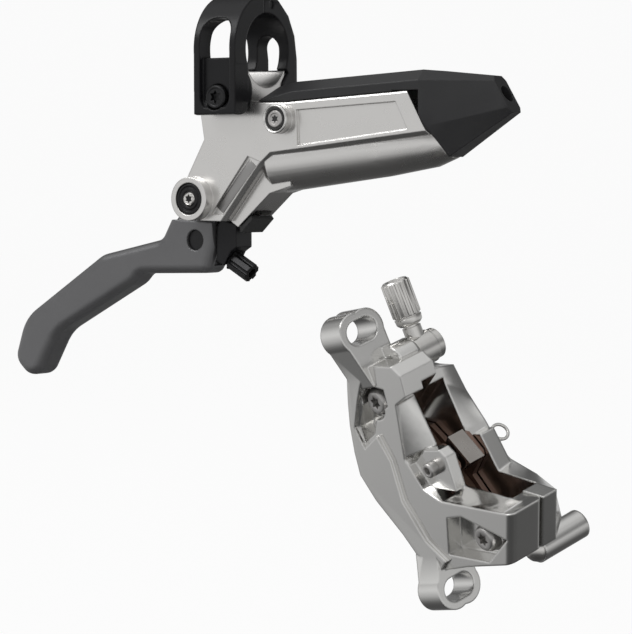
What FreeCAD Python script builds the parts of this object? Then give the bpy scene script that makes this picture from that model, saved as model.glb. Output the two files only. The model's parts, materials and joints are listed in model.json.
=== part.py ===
import FreeCAD, Part
import math
import os
import re
import Sketcher

# Bicycle disc brake set: bar lever with its master cylinder, and a four piston post mount caliper.
# Millimetres. Origin on the handlebar axis in the middle of the clamp, X along the bar to the hose end,
# Z up from the lever to the bar, Y away from the plain face of the lever body.

doc = FreeCAD.newDocument("hydraulic_disc_brake")
sheet = doc.addObject("Spreadsheet::Sheet", "sizes")
given = {}
pieces = []


def size(alias, value):
    row = len(given) + 1
    given[alias] = value
    sheet.set(f"A{row}", alias)
    sheet.set(f"B{row}", str(value))
    sheet.setAlias(f"B{row}", alias)


def bound(expression):
    def cell(word):
        return "sizes." + word.group(0) if word.group(0) in given else word.group(0)
    return re.sub(r"[a-z][a-z_0-9]*", cell, str(expression))


# Handlebar clamp
bar_rad = 11.1
clamp_wide = 15
strap_gap = 0.2
lug_out = 14.6
lug_drop = 12.5
lug_rad = 7
bolt_drop = 14.2
bolt_rad = 2.5
bolt_head_rad = 3.6
bolt_head_len = 3.4
bolt_seat = 13
seam_out = 1.6
window_wide = 9
rear_window_rad = 4
rear_window_low = -5
rear_window_high = 1
window_low = -2
window_high = 9.5
hole_gap = 0.15
hinge_out = 2.4
hinge_rise = 13.7
hinge_pin_rad = 1.1
hinge_eye_rad = 2.5
tongue_wide = 6.6
neck_wide = 14
neck_half = 9.6
neck_top = 5.2

# Lever body
body_thick = 19
body_top_left = 15.4
pivot_x = -12.3
pivot_z = -44.3
boss_rad = 6.5
boss_face = 13
bay_wide = 9.4
bay_wall = 6.5
bore_tilt = 6
bore_rad = 5
bore_arm = 8
bore_mouth = 19
bore_end = 60
outlet_rad = 1.2
outlet_len = 25
panel_deep = 0.8
ridge_bevel = 1.2
shell_near = 24
shell_rad = 8.8
shell_mid_rad = 8
shell_far_rad = 7
shell_end_rad = 4.8
body_right = 69.4
flank_deep = 3.4
edge_round = 1
bleed_x = 18.7
bleed_z = -20.8
bleed_boss_rad = 4.2
bleed_boss_face = 12
bleed_rad = 2
tank_left = 23
tank_right = 57
tank_floor = -23
tank_wide = 13

# Reservoir cover
cover_wide = 18.4
cover_bevel = 3
nose_start = 66
nose_half = 3.3
nose_up = 5.9
nose_down = 6.2
port_x = 89.8
port_z = -14.4
port_tilt = 31
port_rad = 2.6
hose_nut_rad = 3.4
hose_nut_len = 11
hose_nut_back = 13
screw_rad = 1.2
screw_head_rad = 2.2
screw_left = 20.6
screw_right = 60.6
screw_left_seat = -12.6
screw_right_seat = -10
screw_head_len = 2
screw_len = 9

# Lever blade and its drive
blade_wide = 11
blade_reach = 88.3
blade_drop = 103.4
blade_round = 3
hub_rad = 5.2
hub_wide = 8.8
cam_wide = 3.7
cam_gap = 0.25
cam_hub_rad = 4.4
cam_block_wide = 8
nose_rad = 2.2
nose_lead = 9
pin_rad = 2.5
pin_gap = 0.04
bush_rad = 4.8
bush_sink = 0.6
barrel_x = -15.5
barrel_z = -56.8
barrel_rad = 3.1
barrel_sink = 0.9
knob_tilt = 30
knob_near = 12
knob_far = 19.8
knob_rad = 3.3
knob_screw_rad = 1.1
screw_play = 0.8
rod_gap = 0.1
pushrod_rad = 2
pushrod_pad_rad = 2.2
piston_near = 21.4
piston_far = 38
piston_gap = 0.05
cup_wide = 1.8
cup_deep = 1.4
spring_wire = 0.45
spring_turns = 4

# Caliper placement, then its own frame: X across the rotor, Y along the pads, Z out of the window
cal_x = 90.35
cal_y = -38.44
cal_z = -121.43
cal_yaw = 71.81
cal_pitch = -19.3
cal_roll = 50.94
mount_tilt = 30
mount_drop = 2.55
ear_web_up = 15
ear_web_low = 12
ear_span = 74
ear_shift = 11.4
ear_side = 9.4
ear_thick = 9
ear_rad = 5.5
slot_rad = 3.25
slot_half = 1.9
pocket_floor = 6.9
rotor_top = 12.5
rim_face = 11.8
housing_face = 13
cheek_round = 1
slope_step = 0.2
end_reach = 26
end_rise = 34
end_round = 2
split_depth = 5
inner_face = 11.5
cavity_half = 5.4
cavity_up = 18.2
cavity_low = 20.5
body_bolt_half = 23.5
body_bolt_rise = 16.5
body_bolt_rad = 3
body_bolt_head = 4.3
body_bolt_head_len = 3.6
body_bolt_seat = 6.4
piston_half = 8.6
piston_rad = 7
housing_wall = 2.6
bore_floor = 11
seal_near = 6.7
seal_wide = 1.6
seal_deep = 0.9
rotor_half = 0.9
pad_travel = 0.7
lining_thick = 2
plate_thick = 1.5
pad_half = 17.6
pad_drop = 11
pad_top = 11
tab_half = 4.2
tab_top = 20
pad_pin_rise = 16.6
pad_pin_rad = 1.5
pad_pin_gap = 0.15
lug_face = 9
far_lug_face = 10.4
pad_spring_thick = 0.5
spring_half = 2.7
eye_along = 37
eye_up = 8.1
eye_rad = 4.6
eye_near = 1.8
eye_far = 8.2
banjo_bolt_rad = 2.1
washer_thick = 0.5
union_head = 1.8
neck_rad = 2.2
nut_near = 44.4
nut_far = 57
nut_rad = 4
valve_along = -31.5
valve_up = 11.5
valve_rad = 4
valve_near = 4.5
valve_far = 21
plug_rad = 2

for name, value in list(globals().items()):
    if isinstance(value, (int, float)):
        size(name, value)


# Drawing helpers

def poly(name, points):
    # A closed outline. Plain numbers become cells of their own, words are bound to other cells.
    def draw(sketch):
        count = len(points)
        ends = [FreeCAD.Vector(math.cos(2 * math.pi * i / count), math.sin(2 * math.pi * i / count), 0)
                for i in range(count)]
        lines = [Part.LineSegment(ends[i], ends[(i + 1) % count]) for i in range(count)]
        first = sketch.addGeometry(lines, False)
        for i in range(count):
            sketch.addConstraint(Sketcher.Constraint("Coincident", first[i], 2, first[(i + 1) % count], 1))
        for i, pair in enumerate(points):
            for way, axis, place in zip(("DistanceX", "DistanceY"), "xy", pair):
                if not isinstance(place, str):
                    alias = f"{name}_{axis}_{i}"
                    if alias not in given:
                        size(alias, place)
                    place = alias
                number = sketch.addConstraint(Sketcher.Constraint(way, -1, 1, first[i], 1, 1.0 + i))
                sketch.setExpression(f"Constraints[{number}]", bound(place))
    return draw


def disc(across, up, radius):
    def draw(sketch):
        index = sketch.addGeometry(Part.Circle(FreeCAD.Vector(0, 0, 0), FreeCAD.Vector(0, 0, 1), 1), False)
        for way, place in (("DistanceX", across), ("DistanceY", up)):
            number = sketch.addConstraint(Sketcher.Constraint(way, -1, 1, index, 3, 1.0))
            sketch.setExpression(f"Constraints[{number}]", bound(place))
        number = sketch.addConstraint(Sketcher.Constraint("Radius", index, 1.0))
        sketch.setExpression(f"Constraints[{number}]", bound(radius))
    return draw


def hexagon(across, up, radius, turn=0):
    corners = [(f"{across} + ({radius}) * cos({60 * i + turn})", f"{up} + ({radius}) * sin({60 * i + turn})")
               for i in range(6)]
    return poly("hexagon", corners)


def turned_point(start, angle, along, across):
    # A point given along and across a line that starts at start and is turned by angle
    return (f"({start[0]}) + ({along}) * cos({angle}) - ({across}) * sin({angle})",
            f"({start[1]}) + ({along}) * sin({angle}) + ({across}) * cos({angle})")


class Piece:
    def __init__(self, label, place=None):
        self.body = doc.addObject("PartDesign::Body", label)
        self.body.Label = label
        self.body.AllowCompound = True
        if place:
            self.body.setExpression("Placement", bound(place))
        pieces.append(self.body)

    def sketch(self, role, offset, shapes, lean=None):
        found = self.body.newObject("Sketcher::SketchObject", self.body.Name + "_sketch")
        base = next(part for part in self.body.Origin.OriginFeatures if part.Role == role)
        found.AttachmentSupport = [(base, "")]
        found.MapMode = "FlatFace"
        if lean:
            angle, rise = lean
            found.AttachmentOffset = FreeCAD.Placement(
                FreeCAD.Vector(0, 0, 0), FreeCAD.Rotation(FreeCAD.Vector(1, 0, 0), 10))
            found.setExpression("AttachmentOffset.Rotation.Angle", bound(angle))
            found.setExpression("AttachmentOffset.Base.y", bound(f"-({rise}) * sin({angle})"))
            found.setExpression("AttachmentOffset.Base.z", bound(f"({rise}) * cos({angle})"))
        else:
            found.setExpression("AttachmentOffset.Base.z", bound(offset))
        for shape in shapes:
            shape(found)
        found.Visibility = False
        return found

    def add(self, role, low, high, *shapes, lean=None):
        start = f"-({high})" if role == "XZ_Plane" else low
        outline = self.sketch(role, start, shapes, lean and (lean, low))
        feature = self.body.newObject("PartDesign::Pad", self.body.Name + "_pad")
        feature.Profile = outline
        feature.setExpression("Length", bound(f"({high}) - ({low})"))
        return outline

    def cut(self, role, low, high, *shapes, lean=None):
        start = f"-({low})" if role == "XZ_Plane" else high
        outline = self.sketch(role, start, shapes, lean and (lean, high))
        feature = self.body.newObject("PartDesign::Pocket", self.body.Name + "_pocket")
        feature.Profile = outline
        feature.setExpression("Length", bound(f"({high}) - ({low})"))
        return outline

    def loft(self, role, first, last, first_shape, last_shape, lean=None):
        near = self.sketch(role, first, [first_shape])
        far = self.sketch(role, last, [last_shape], lean and (lean, last))
        feature = self.body.newObject("PartDesign::AdditiveLoft", self.body.Name + "_loft")
        feature.Profile = near
        feature.Sections = [far]
        feature.Ruled = True

    def spin(self, role, offset, start, angle, profile, kind="PartDesign::Revolution"):
        # profile: pairs of distance along the axis and radius
        outline = self.sketch(role, offset, [
            poly("spin", [turned_point(start, angle, along, radius) for along, radius in profile])])
        line = outline.addGeometry(
            Part.LineSegment(FreeCAD.Vector(0, 0, 0), FreeCAD.Vector(1, 0, 0)), True)
        for end, point in ((1, start), (2, turned_point(start, angle, 10, 0))):
            for way, place in zip(("DistanceX", "DistanceY"), point):
                number = outline.addConstraint(Sketcher.Constraint(way, -1, 1, line, end, 1.0))
                outline.setExpression(f"Constraints[{number}]", bound(place))
        feature = self.body.newObject(kind, self.body.Name + "_spin")
        feature.Profile = outline
        feature.ReferenceAxis = (outline, ["Axis0"])
        feature.Angle = 360
        return outline

    def bore(self, role, offset, start, angle, profile):
        return self.spin(role, offset, start, angle, profile, "PartDesign::Groove")

    def dress(self, kind, amount, value, chosen):
        # Rounds or bevels the edges that chosen picks
        doc.recompute()
        shape = self.body.Tip.Shape
        names = [f"Edge{i + 1}" for i, edge in enumerate(shape.Edges) if chosen(edge)]
        feature = self.body.newObject("PartDesign::" + kind, self.body.Name + "_" + kind.lower())
        feature.Base = (feature.BaseFeature, names)
        feature.setExpression(amount, bound(value))

    def round(self, radius, chosen):
        self.dress("Fillet", "Radius", radius, chosen)

    def bevel(self, width, chosen):
        self.dress("Chamfer", "Size", width, chosen)


def ends_of(edge):
    return [vertex.Point for vertex in edge.Vertexes]


def upright(outline, numbers, axis):
    # Edges that rise along axis from the given corners of an outline
    doc.recompute()
    flat = [k for k in range(3) if k != axis]
    corners = [outline.Geometry[i].StartPoint for i in numbers]

    def chosen(edge):
        tips = ends_of(edge)
        if len(tips) != 2:
            return False
        return any(all(abs(tip[flat[0]] - corner.x) < 0.01 and abs(tip[flat[1]] - corner.y) < 0.01
                       for tip in tips) for corner in corners)
    return chosen


def along(outline, numbers, axis):
    # Edges that follow the given lines of an outline, on either face of the pad
    doc.recompute()
    flat = [k for k in range(3) if k != axis]
    lines = [(outline.Geometry[i].StartPoint, outline.Geometry[i].EndPoint) for i in numbers]

    def near(tip, corner):
        return abs(tip[flat[0]] - corner.x) < 0.01 and abs(tip[flat[1]] - corner.y) < 0.01

    def chosen(edge):
        tips = ends_of(edge)
        if len(tips) != 2:
            return False
        return any((near(tips[0], start) and near(tips[1], end)) or (near(tips[0], end) and near(tips[1], start))
                   for start, end in lines)
    return chosen


# Lever body: forged housing with clamp neck, pivot arm, tank and master cylinder
axis_start = ("pivot_x - bore_arm * sin(bore_tilt)", "pivot_z + bore_arm * cos(bore_tilt)")
axis_place = (f"create(<<placement>>; create(<<vector>>; {axis_start[0]}; 0; {axis_start[1]});"
              " create(<<rotation>>; 0; -bore_tilt; 0))")
port_place = ("create(<<placement>>; create(<<vector>>; port_x; 0; port_z);"
              " create(<<rotation>>; 0; -port_tilt; 0))")
knob_place = ("create(<<placement>>; create(<<vector>>; barrel_x; 0; barrel_z);"
              " create(<<rotation>>; 0; knob_tilt; 0))")
port_start = ("port_x", "port_z")
knob_start = ("barrel_x", "barrel_z")

lever_body = Piece("lever_body")
side = lever_body.add("XZ_Plane", "-body_thick / 2", "body_thick / 2", poly("side", [
    (-8.0, "-body_top_left"), (-10.6, -20.0), (-9.5, -26.5), ("pivot_x - 3", "pivot_z + 7.5"),
    ("pivot_x - boss_rad", "pivot_z"), ("pivot_x - 0.7 * boss_rad", "pivot_z - 0.7 * boss_rad"),
    ("pivot_x", "pivot_z - boss_rad"), (-1.6, "pivot_z - 6.7"), (11.5, -34.8), (15.5, -31.6),
    ("body_right", -25.8), (67.6, -23.0), (62.2, -13.1), (20.5, -15.6), (8.0, "-body_top_left")]))
lever_body.bevel("ridge_bevel", along(side, [7, 8, 9], 1))
lever_body.round("edge_round", along(side, [1, 2, 3, 12], 1))
lever_body.add("XZ_Plane", "-body_thick / 2 + flank_deep", "body_thick / 2 - flank_deep", poly("flank", [
    (-4.0, "pivot_z - 4"), ("side_x_7", "pivot_z - 6.7"), (1.0, -52.7), (12.5, -42.6), (20.0, -40.5),
    (20.0, -30.0), (4.0, -30.0)]))
lever_body.spin("XZ_Plane", "0", axis_start, "bore_tilt", [
    ("shell_near", "0"), ("shell_near", "shell_rad - 1.5"), ("shell_near + 2", "shell_rad"),
    ("bore_end + 4", "shell_mid_rad"), ("bore_end + 20", "shell_far_rad"), ("bore_end + 28", "shell_end_rad"),
    ("bore_end + 28", "0")])
nose_seat = [("side_x_12", "side_y_12"), ("side_x_11", "side_y_11"), (70.6, -27.6), (73.2, -32.3)]
lever_body.cut("XZ_Plane", "-body_thick", "body_thick", poly("nose_seat", nose_seat + [
    ("port_x", "nose_seat_y_3 - 6"), ("port_x + 10", 0.0), ("side_x_12", 0.0)]))
lever_body.add("YZ_Plane", "-neck_wide / 2", "neck_wide / 2", poly("neck", [
    ("-neck_half", "-neck_top"), ("-neck_half + 0.2", "-body_top_left - 2"),
    ("neck_half - 0.2", "-body_top_left - 2"), ("neck_half", "-neck_top")]))
lever_body.add("XZ_Plane", "-boss_face", "boss_face", disc("pivot_x", "pivot_z", "boss_rad"))
lever_body.add("XZ_Plane", "-bleed_boss_face", "0", disc("bleed_x", "bleed_z", "bleed_boss_rad"))
lever_body.cut("YZ_Plane", "-clamp_wide", "clamp_wide", disc("0", "0", "bar_rad"))
for hand in ("-", ""):
    lever_body.cut("YZ_Plane", "-clamp_wide / 2 - strap_gap", "clamp_wide / 2 + strap_gap",
                   disc(f"{hand}lug_out", "-lug_drop", "lug_rad + hole_gap"))
lever_body.cut("XZ_Plane", "-lug_out", "lug_out", disc("0", "-bolt_drop", "bolt_rad + hole_gap"))
lever_body.cut("XZ_Plane", "-bay_wide / 2", "bay_wide / 2", poly("bay", [
    ("pivot_x - 14", "pivot_z + 10.7"), ("bay_wall", "pivot_z + 13.9"),
    ("bay_wall", "pivot_z - 14"), ("pivot_x - 14", "pivot_z - 14")]))
lever_body.cut("XZ_Plane", "-tank_wide / 2", "tank_wide / 2", poly("tank", [
    ("tank_left", "-5"), ("tank_left", "tank_floor"), ("tank_right", "tank_floor + 1.5"), ("tank_right + 2", "-5")]))
for low, high in (("-body_thick", "-body_thick / 2 + panel_deep"), ("body_thick / 2 - panel_deep", "body_thick")):
    lever_body.cut("XZ_Plane", low, high, poly("panel", [
        ("bleed_x + 5.6", "bleed_z + 2.6"), (58.6, -16.3), (62.6, -24.2), ("bleed_x + 6", "bleed_z - 7.7")]))
    lever_body.cut("XZ_Plane", low, high, poly("strip", [
        (6.9, -31.6), (11.2, -33.2), (-2.2, "pivot_z - 4.6"), (-6.6, "pivot_z - 4.6")]))
lever_body.bore("XZ_Plane", "0", axis_start, "bore_tilt", [
    ("bore_mouth", "0"), ("bore_mouth", "bore_rad"), ("bore_end", "bore_rad"), ("bore_end", "outlet_rad"),
    ("bore_end + outlet_len", "outlet_rad"), ("bore_end + outlet_len", "0")])
lever_body.bore("XZ_Plane", "0", port_start, "port_tilt", [
    ("-hose_nut_back - hose_nut_len", "0"), ("-hose_nut_back - hose_nut_len", "hose_nut_rad + hole_gap"),
    ("0", "hose_nut_rad + hole_gap"), ("0", "0")])
lever_body.cut("XZ_Plane", "-boss_face", "boss_face", disc("pivot_x", "pivot_z", "bush_rad + hole_gap / 3"))
lever_body.cut("XZ_Plane", "-bleed_boss_face", "-4", disc("bleed_x", "bleed_z", "bleed_rad + hole_gap / 3"))
for screw in ("screw_left", "screw_right"):
    lever_body.cut("XY_Plane", "-25", "0", disc(screw, "0", "screw_rad + hole_gap / 3"))

# Reservoir cover: strip over the tank and the tapered hose end in one
cover = Piece("reservoir_cover")
lid = cover.add("XZ_Plane", "-cover_wide / 2", "cover_wide / 2", poly("lid", [
    (10.5, "-body_top_left"), ("side_x_13", "side_y_13"), ("side_x_12", "side_y_12"),
    ("nose_start", "side_y_12"), ("nose_start", -7.3), (21.8, -9.9), (16.2, -11.2)]))
cover.bevel("cover_bevel", along(lid, [4, 5], 1))
nose_height = "(port_z * cos(port_tilt) - port_x * sin(port_tilt))"
cover.loft("YZ_Plane", "nose_start", "port_x * cos(port_tilt) + port_z * sin(port_tilt)", poly("nose_root", [
    ("-cover_wide / 2 + cover_bevel", "lid_y_4"), ("cover_wide / 2 - cover_bevel", "lid_y_4"),
    ("cover_wide / 2", "lid_y_4 - cover_bevel"), ("cover_wide / 2", -24.0), (4.5, -36.5), (-4.5, -36.5),
    ("-cover_wide / 2", -24.0), ("-cover_wide / 2", "lid_y_4 - cover_bevel")]), poly("nose_tip", [
        ("1.2 - nose_half", f"{nose_height} + nose_up"), ("nose_half - 1.2", f"{nose_height} + nose_up"),
        ("nose_half", f"{nose_height} + nose_up - 1.6"), ("nose_half", f"{nose_height} - nose_down + 1.6"),
        ("nose_half - 1.2", f"{nose_height} - nose_down"), ("1.2 - nose_half", f"{nose_height} - nose_down"),
        ("-nose_half", f"{nose_height} - nose_down + 1.6"), ("-nose_half", f"{nose_height} + nose_up - 1.6")]),
    lean="-port_tilt")
cover.cut("XZ_Plane", "-body_thick", "body_thick", poly("under_nose", nose_seat + [
    ("nose_seat_x_3", -45.0), ("side_x_12 - 5", -45.0), ("side_x_12 - 5", "side_y_12")]))
cover.bore("XZ_Plane", "0", port_start, "port_tilt", [
    ("-hose_nut_back - hose_nut_len", "0"), ("-hose_nut_back - hose_nut_len", "hose_nut_rad + hole_gap"),
    ("-hose_nut_back", "hose_nut_rad + hole_gap"), ("-hose_nut_back", "port_rad"), ("10", "port_rad"), ("10", "0")])
for screw in ("screw_left", "screw_right"):
    cover.cut("XY_Plane", "-25", "0", disc(screw, "0", "screw_rad + hole_gap"))
    cover.cut("XY_Plane", screw + "_seat", "0", disc(screw, "0", "screw_head_rad + hole_gap"))

screws = Piece("cover_screws")
for screw in ("screw_left", "screw_right"):
    screws.add("XY_Plane", f"{screw}_seat - screw_len", screw + "_seat", disc(screw, "0", "screw_rad"))
    screws.add("XY_Plane", screw + "_seat", f"{screw}_seat + screw_head_len", disc(screw, "0", "screw_head_rad"))
    screws.cut("XY_Plane", f"{screw}_seat + screw_head_len / 3", f"{screw}_seat + screw_head_len",
               hexagon(screw, "0", "screw_head_rad / 2"))


def under_lid(across):
    # Height of the cover's underside at a place along the tank
    return (f"side_y_13 + (({across}) - side_x_13)"
            " * (side_y_12 - side_y_13) / (side_x_12 - side_x_13)")


bladder = Piece("reservoir_bladder")
bladder_ends = ("tank_left + 0.4", "tank_right - 0.4")
bladder.add("XZ_Plane", "-tank_wide / 2 + 0.4", "tank_wide / 2 - 0.4", poly("bladder", [
    (bladder_ends[0], under_lid(bladder_ends[0])), (bladder_ends[0], "tank_floor + 2.5"),
    (bladder_ends[1], "tank_floor + 4"), (bladder_ends[1], under_lid(bladder_ends[1]))]))

lever_nut = Piece("lever_hose_nut", port_place)
lever_nut.spin("XZ_Plane", "0", ("0", "0"), "0", [
    ("-hose_nut_back - hose_nut_len", "port_rad"), ("-hose_nut_back - hose_nut_len", "hose_nut_rad"),
    ("-hose_nut_back", "hose_nut_rad"), ("-hose_nut_back", "port_rad")])

bleed = Piece("bleed_screw")
bleed.add("XZ_Plane", "-bleed_boss_face", "-5", disc("bleed_x", "bleed_z", "bleed_rad"))
bleed.cut("XZ_Plane", "-bleed_boss_face", "-bleed_boss_face + 1.6", hexagon("bleed_x", "bleed_z", "bleed_rad * 0.6"))


# Handlebar clamp: two straps hinged over the bar and drawn together under it by one bolt
def lug_arc(hand):
    return [(f"{hand}(lug_out - lug_rad * cos({turn}))", f"-lug_drop + lug_rad * sin({turn})")
            for turn in (-55, -30, -5, 25, 60)]


front = Piece("clamp_front_strap")
front_outline = front.add("YZ_Plane", "-clamp_wide / 2", "clamp_wide / 2", poly("front", [
    ("-seam_out - strap_gap / 2", 10.0), ("-seam_out - strap_gap / 2", 16.3), (-7.0, 15.4), (-12.3, 11.2),
    (-15.6, 5.2), (-16.6, -1.0), (-16.9, -9.0), (-16.2, -16.6), (-13.4, -19.4)] + lug_arc("-") + [(-5.0, 0.0)]))
front.round("2 * edge_round", along(front_outline, [1, 2, 3, 4, 5, 6, 7], 0))
front.cut("YZ_Plane", "-clamp_wide", "clamp_wide", disc("0", "0", "bar_rad"))
front.cut("XZ_Plane", "-20", "-5", poly("window", [
    ("-window_wide / 2", "window_low"), ("window_wide / 2", "window_low"),
    ("window_wide / 2", "window_high"), ("-window_wide / 2", "window_high")]))
front.cut("XZ_Plane", "-20", "-bolt_seat", disc("0", "-bolt_drop", "bolt_head_rad + hole_gap"))
front.cut("XZ_Plane", "-20", "0", disc("0", "-bolt_drop", "bolt_rad + hole_gap"))
front.add("YZ_Plane", "-tongue_wide / 2", "tongue_wide / 2", poly("tongue", [
    (-4.0, "hinge_rise - hinge_eye_rad"), (-4.0, "hinge_rise + hinge_eye_rad - 0.2"),
    ("hinge_out", "hinge_rise + hinge_eye_rad"), ("hinge_out", "hinge_rise - hinge_eye_rad")]))
front.add("YZ_Plane", "-tongue_wide / 2", "tongue_wide / 2", disc("hinge_out", "hinge_rise", "hinge_eye_rad"))
front.cut("YZ_Plane", "-clamp_wide", "clamp_wide", disc("hinge_out", "hinge_rise", "hinge_pin_rad + hole_gap / 3"))

rear = Piece("clamp_rear_strap")
rear_outline = rear.add("YZ_Plane", "-clamp_wide / 2", "clamp_wide / 2", poly("rear", [
    ("-seam_out + strap_gap / 2", 10.0), ("-seam_out + strap_gap / 2", 16.3), (7.0, 15.6), (12.3, 11.2),
    (15.6, 5.2), (16.9, -2.0), (17.0, -9.0), (16.2, -16.6), (13.4, -19.4)] + lug_arc("") + [(5.0, 0.0)]))
rear.round("2 * edge_round", along(rear_outline, [1, 2, 3, 4, 5, 6, 7], 0))
rear.cut("YZ_Plane", "-clamp_wide", "clamp_wide", disc("0", "0", "bar_rad"))
rear.cut("YZ_Plane", "-tongue_wide / 2 - strap_gap", "tongue_wide / 2 + strap_gap", poly("slot", [
    (-4.0, 9.0), (-4.0, 18.0), ("hinge_out", 18.0), ("hinge_out", 9.0)]))
rear.cut("YZ_Plane", "-tongue_wide / 2 - strap_gap", "tongue_wide / 2 + strap_gap",
         disc("hinge_out", "hinge_rise", "hinge_eye_rad + strap_gap"))
for height in ("rear_window_low", "rear_window_high"):
    rear.cut("XZ_Plane", "5", "20", disc("0", height, "rear_window_rad"))
rear.cut("XZ_Plane", "5", "20", poly("rear_window", [
    ("-rear_window_rad", "rear_window_low"), ("rear_window_rad", "rear_window_low"),
    ("rear_window_rad", "rear_window_high"), ("-rear_window_rad", "rear_window_high")]))
rear.cut("XZ_Plane", "0", "bolt_seat + 2.2", disc("0", "-bolt_drop", "bolt_rad + hole_gap / 3"))
rear.cut("YZ_Plane", "-clamp_wide", "clamp_wide", disc("hinge_out", "hinge_rise", "hinge_pin_rad + hole_gap / 3"))

hinge_pin = Piece("clamp_hinge_pin")
hinge_pin.add("YZ_Plane", "-clamp_wide / 2 + 0.4", "clamp_wide / 2 - 0.4",
              disc("hinge_out", "hinge_rise", "hinge_pin_rad"))

clamp_bolt = Piece("clamp_bolt")
clamp_bolt.add("XZ_Plane", "-bolt_seat", "bolt_seat + 2", disc("0", "-bolt_drop", "bolt_rad"))
clamp_bolt.add("XZ_Plane", "-bolt_seat - bolt_head_len", "-bolt_seat", disc("0", "-bolt_drop", "bolt_head_rad"))
clamp_bolt.cut("XZ_Plane", "-bolt_seat - bolt_head_len", "-bolt_seat - bolt_head_len / 3",
               hexagon("0", "-bolt_drop", "bolt_head_rad * 0.6"))

# Pivot: one pin in two flanged bushes
pivot = Piece("pivot_pin")
pivot.add("XZ_Plane", "-boss_face + bush_sink", "boss_face - bush_sink", disc("pivot_x", "pivot_z", "pin_rad"))
pivot.cut("XZ_Plane", "-boss_face + bush_sink", "-boss_face + bush_sink + 2.4",
          hexagon("pivot_x", "pivot_z", "pin_rad * 0.6"))
bushes = Piece("pivot_bushes")
for low, high in (("-boss_face + bush_sink", "-bay_wide / 2 - 0.1"), ("bay_wide / 2 + 0.1", "boss_face - bush_sink")):
    bushes.add("XZ_Plane", low, high, disc("pivot_x", "pivot_z", "bush_rad"),
               disc("pivot_x", "pivot_z", "pin_rad + pin_gap"))

# Blade with forked hub
blade = Piece("lever_blade")
paddle = blade.add("XZ_Plane", "-blade_wide / 2", "blade_wide / 2", poly("paddle", [
    (-25.7, "pivot_z - 6.3"), (-29.1, -56.7), (-52.5, -61.8), (-84.0, -82.2), ("-blade_reach", -95.6),
    (-80.0, "-blade_drop"), (-70.5, -86.7), (-40.3, -70.5), (-37.5, -67.4), (-11.5, -66.8), (-9.2, -60.0),
    (-9.2, "pivot_z - 7.1")]))
for radius, corners in (("4", [1, 8]), ("9", [2, 7]), ("14", [3, 6]), ("5", [4, 5]), ("2.9", [9])):
    blade.round(radius, upright(paddle, corners, 1))
blade.round("blade_round", lambda edge: all(
    abs(tip.y) > given["blade_wide"] / 2 - 0.01 and tip.x < given["pivot_x"] - 8 for tip in ends_of(edge)))
blade.add("XZ_Plane", "-hub_wide / 2", "hub_wide / 2", poly("cheek", [
    ("pivot_x - hub_rad", "pivot_z"), ("pivot_x + hub_rad - 0.3", "pivot_z"), (-9.2, "pivot_z - 8"),
    (-22.0, "pivot_z - 9"), (-23.6, "pivot_z - 7")]))
blade.add("XZ_Plane", "-hub_wide / 2", "hub_wide / 2", disc("pivot_x", "pivot_z", "hub_rad"))
blade.cut("XZ_Plane", "-cam_wide / 2 - cam_gap", "cam_wide / 2 + cam_gap", poly("fork", [
    ("pivot_x - 6.2", "pivot_z + 6.3"), ("pivot_x + 7.3", "pivot_z + 6.3"), ("pivot_x + 7.3", -64.5),
    (-11.8, -64.5), (-12.6, "pivot_z - 7.7"), ("pivot_x - 6.2", "pivot_z - 5.7")]))
blade.cut("XZ_Plane", "-hub_wide", "hub_wide", disc("pivot_x", "pivot_z", "pin_rad + pin_gap"))
blade.cut("XZ_Plane", "-blade_wide", "blade_wide", disc("barrel_x", "barrel_z", "barrel_rad + hole_gap / 3"))
blade.bore("XZ_Plane", "0", knob_start, "-knob_tilt", [
    ("0", "0"), ("0", "knob_screw_rad + screw_play + 0.6"), ("knob_far", "knob_screw_rad + screw_play + 0.6"),
    ("knob_far", "0")])

barrel = Piece("reach_barrel")
barrel.add("XZ_Plane", "-blade_wide / 2 + barrel_sink", "blade_wide / 2 - barrel_sink",
           disc("barrel_x", "barrel_z", "barrel_rad"))
barrel.bore("XZ_Plane", "0", knob_start, "-knob_tilt", [
    ("-5", "0"), ("-5", "knob_screw_rad + screw_play"), ("5", "knob_screw_rad + screw_play"), ("5", "0")])

# Cam that pushes the piston rod, with the reach screw carried in its lower block
nose = ("pivot_x + bore_arm * cos(90 + bore_tilt + nose_lead)", "pivot_z + bore_arm * sin(90 + bore_tilt + nose_lead)")
cam = Piece("cam_link")
cam_sides = ("-cam_wide / 2", "cam_wide / 2")
cam.add("XZ_Plane", *cam_sides, disc("pivot_x", "pivot_z", "cam_hub_rad"))
cam.add("XZ_Plane", *cam_sides, poly("cam_up", [
    ("pivot_x - 3.8", "pivot_z + 1"), ("pivot_x + 0.8", "pivot_z + 3"), (f"{nose[0]} + nose_rad * 0.6", nose[1]),
    (f"{nose[0]} - nose_rad * 0.9", nose[1])]))
cam.add("XZ_Plane", *cam_sides, disc(*nose, "nose_rad"))
cam.add("XZ_Plane", *cam_sides, poly("cam_low", [
    ("pivot_x - 2.2", "pivot_z - 2.7"), ("pivot_x + 4.1", "pivot_z - 1.7"), (-3.0, -52.5), (-3.0, -60.0),
    (-6.0, -62.5), (-10.4, -60.0), (-11.3, "pivot_z - 6.7")]))
block = cam.add("XZ_Plane", "-cam_block_wide / 2", "cam_block_wide / 2", poly("cam_block", [
    (-8.4, -52.6), (-6.6, -50.6), (-1.2, -52.0), (-1.2, -58.8), (-3.4, -60.2), (-5.8, -64.4), (-8.4, -63.0)]))
cam.cut("XZ_Plane", "-cam_block_wide", "cam_block_wide", disc("pivot_x", "pivot_z", "pin_rad + pin_gap"))
cam.bore("XZ_Plane", "0", knob_start, "-knob_tilt", [
    ("-1", "0"), ("-1", "knob_screw_rad + hole_gap / 3"), ("knob_far", "knob_screw_rad + hole_gap / 3"),
    ("knob_far", "0")])
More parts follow.
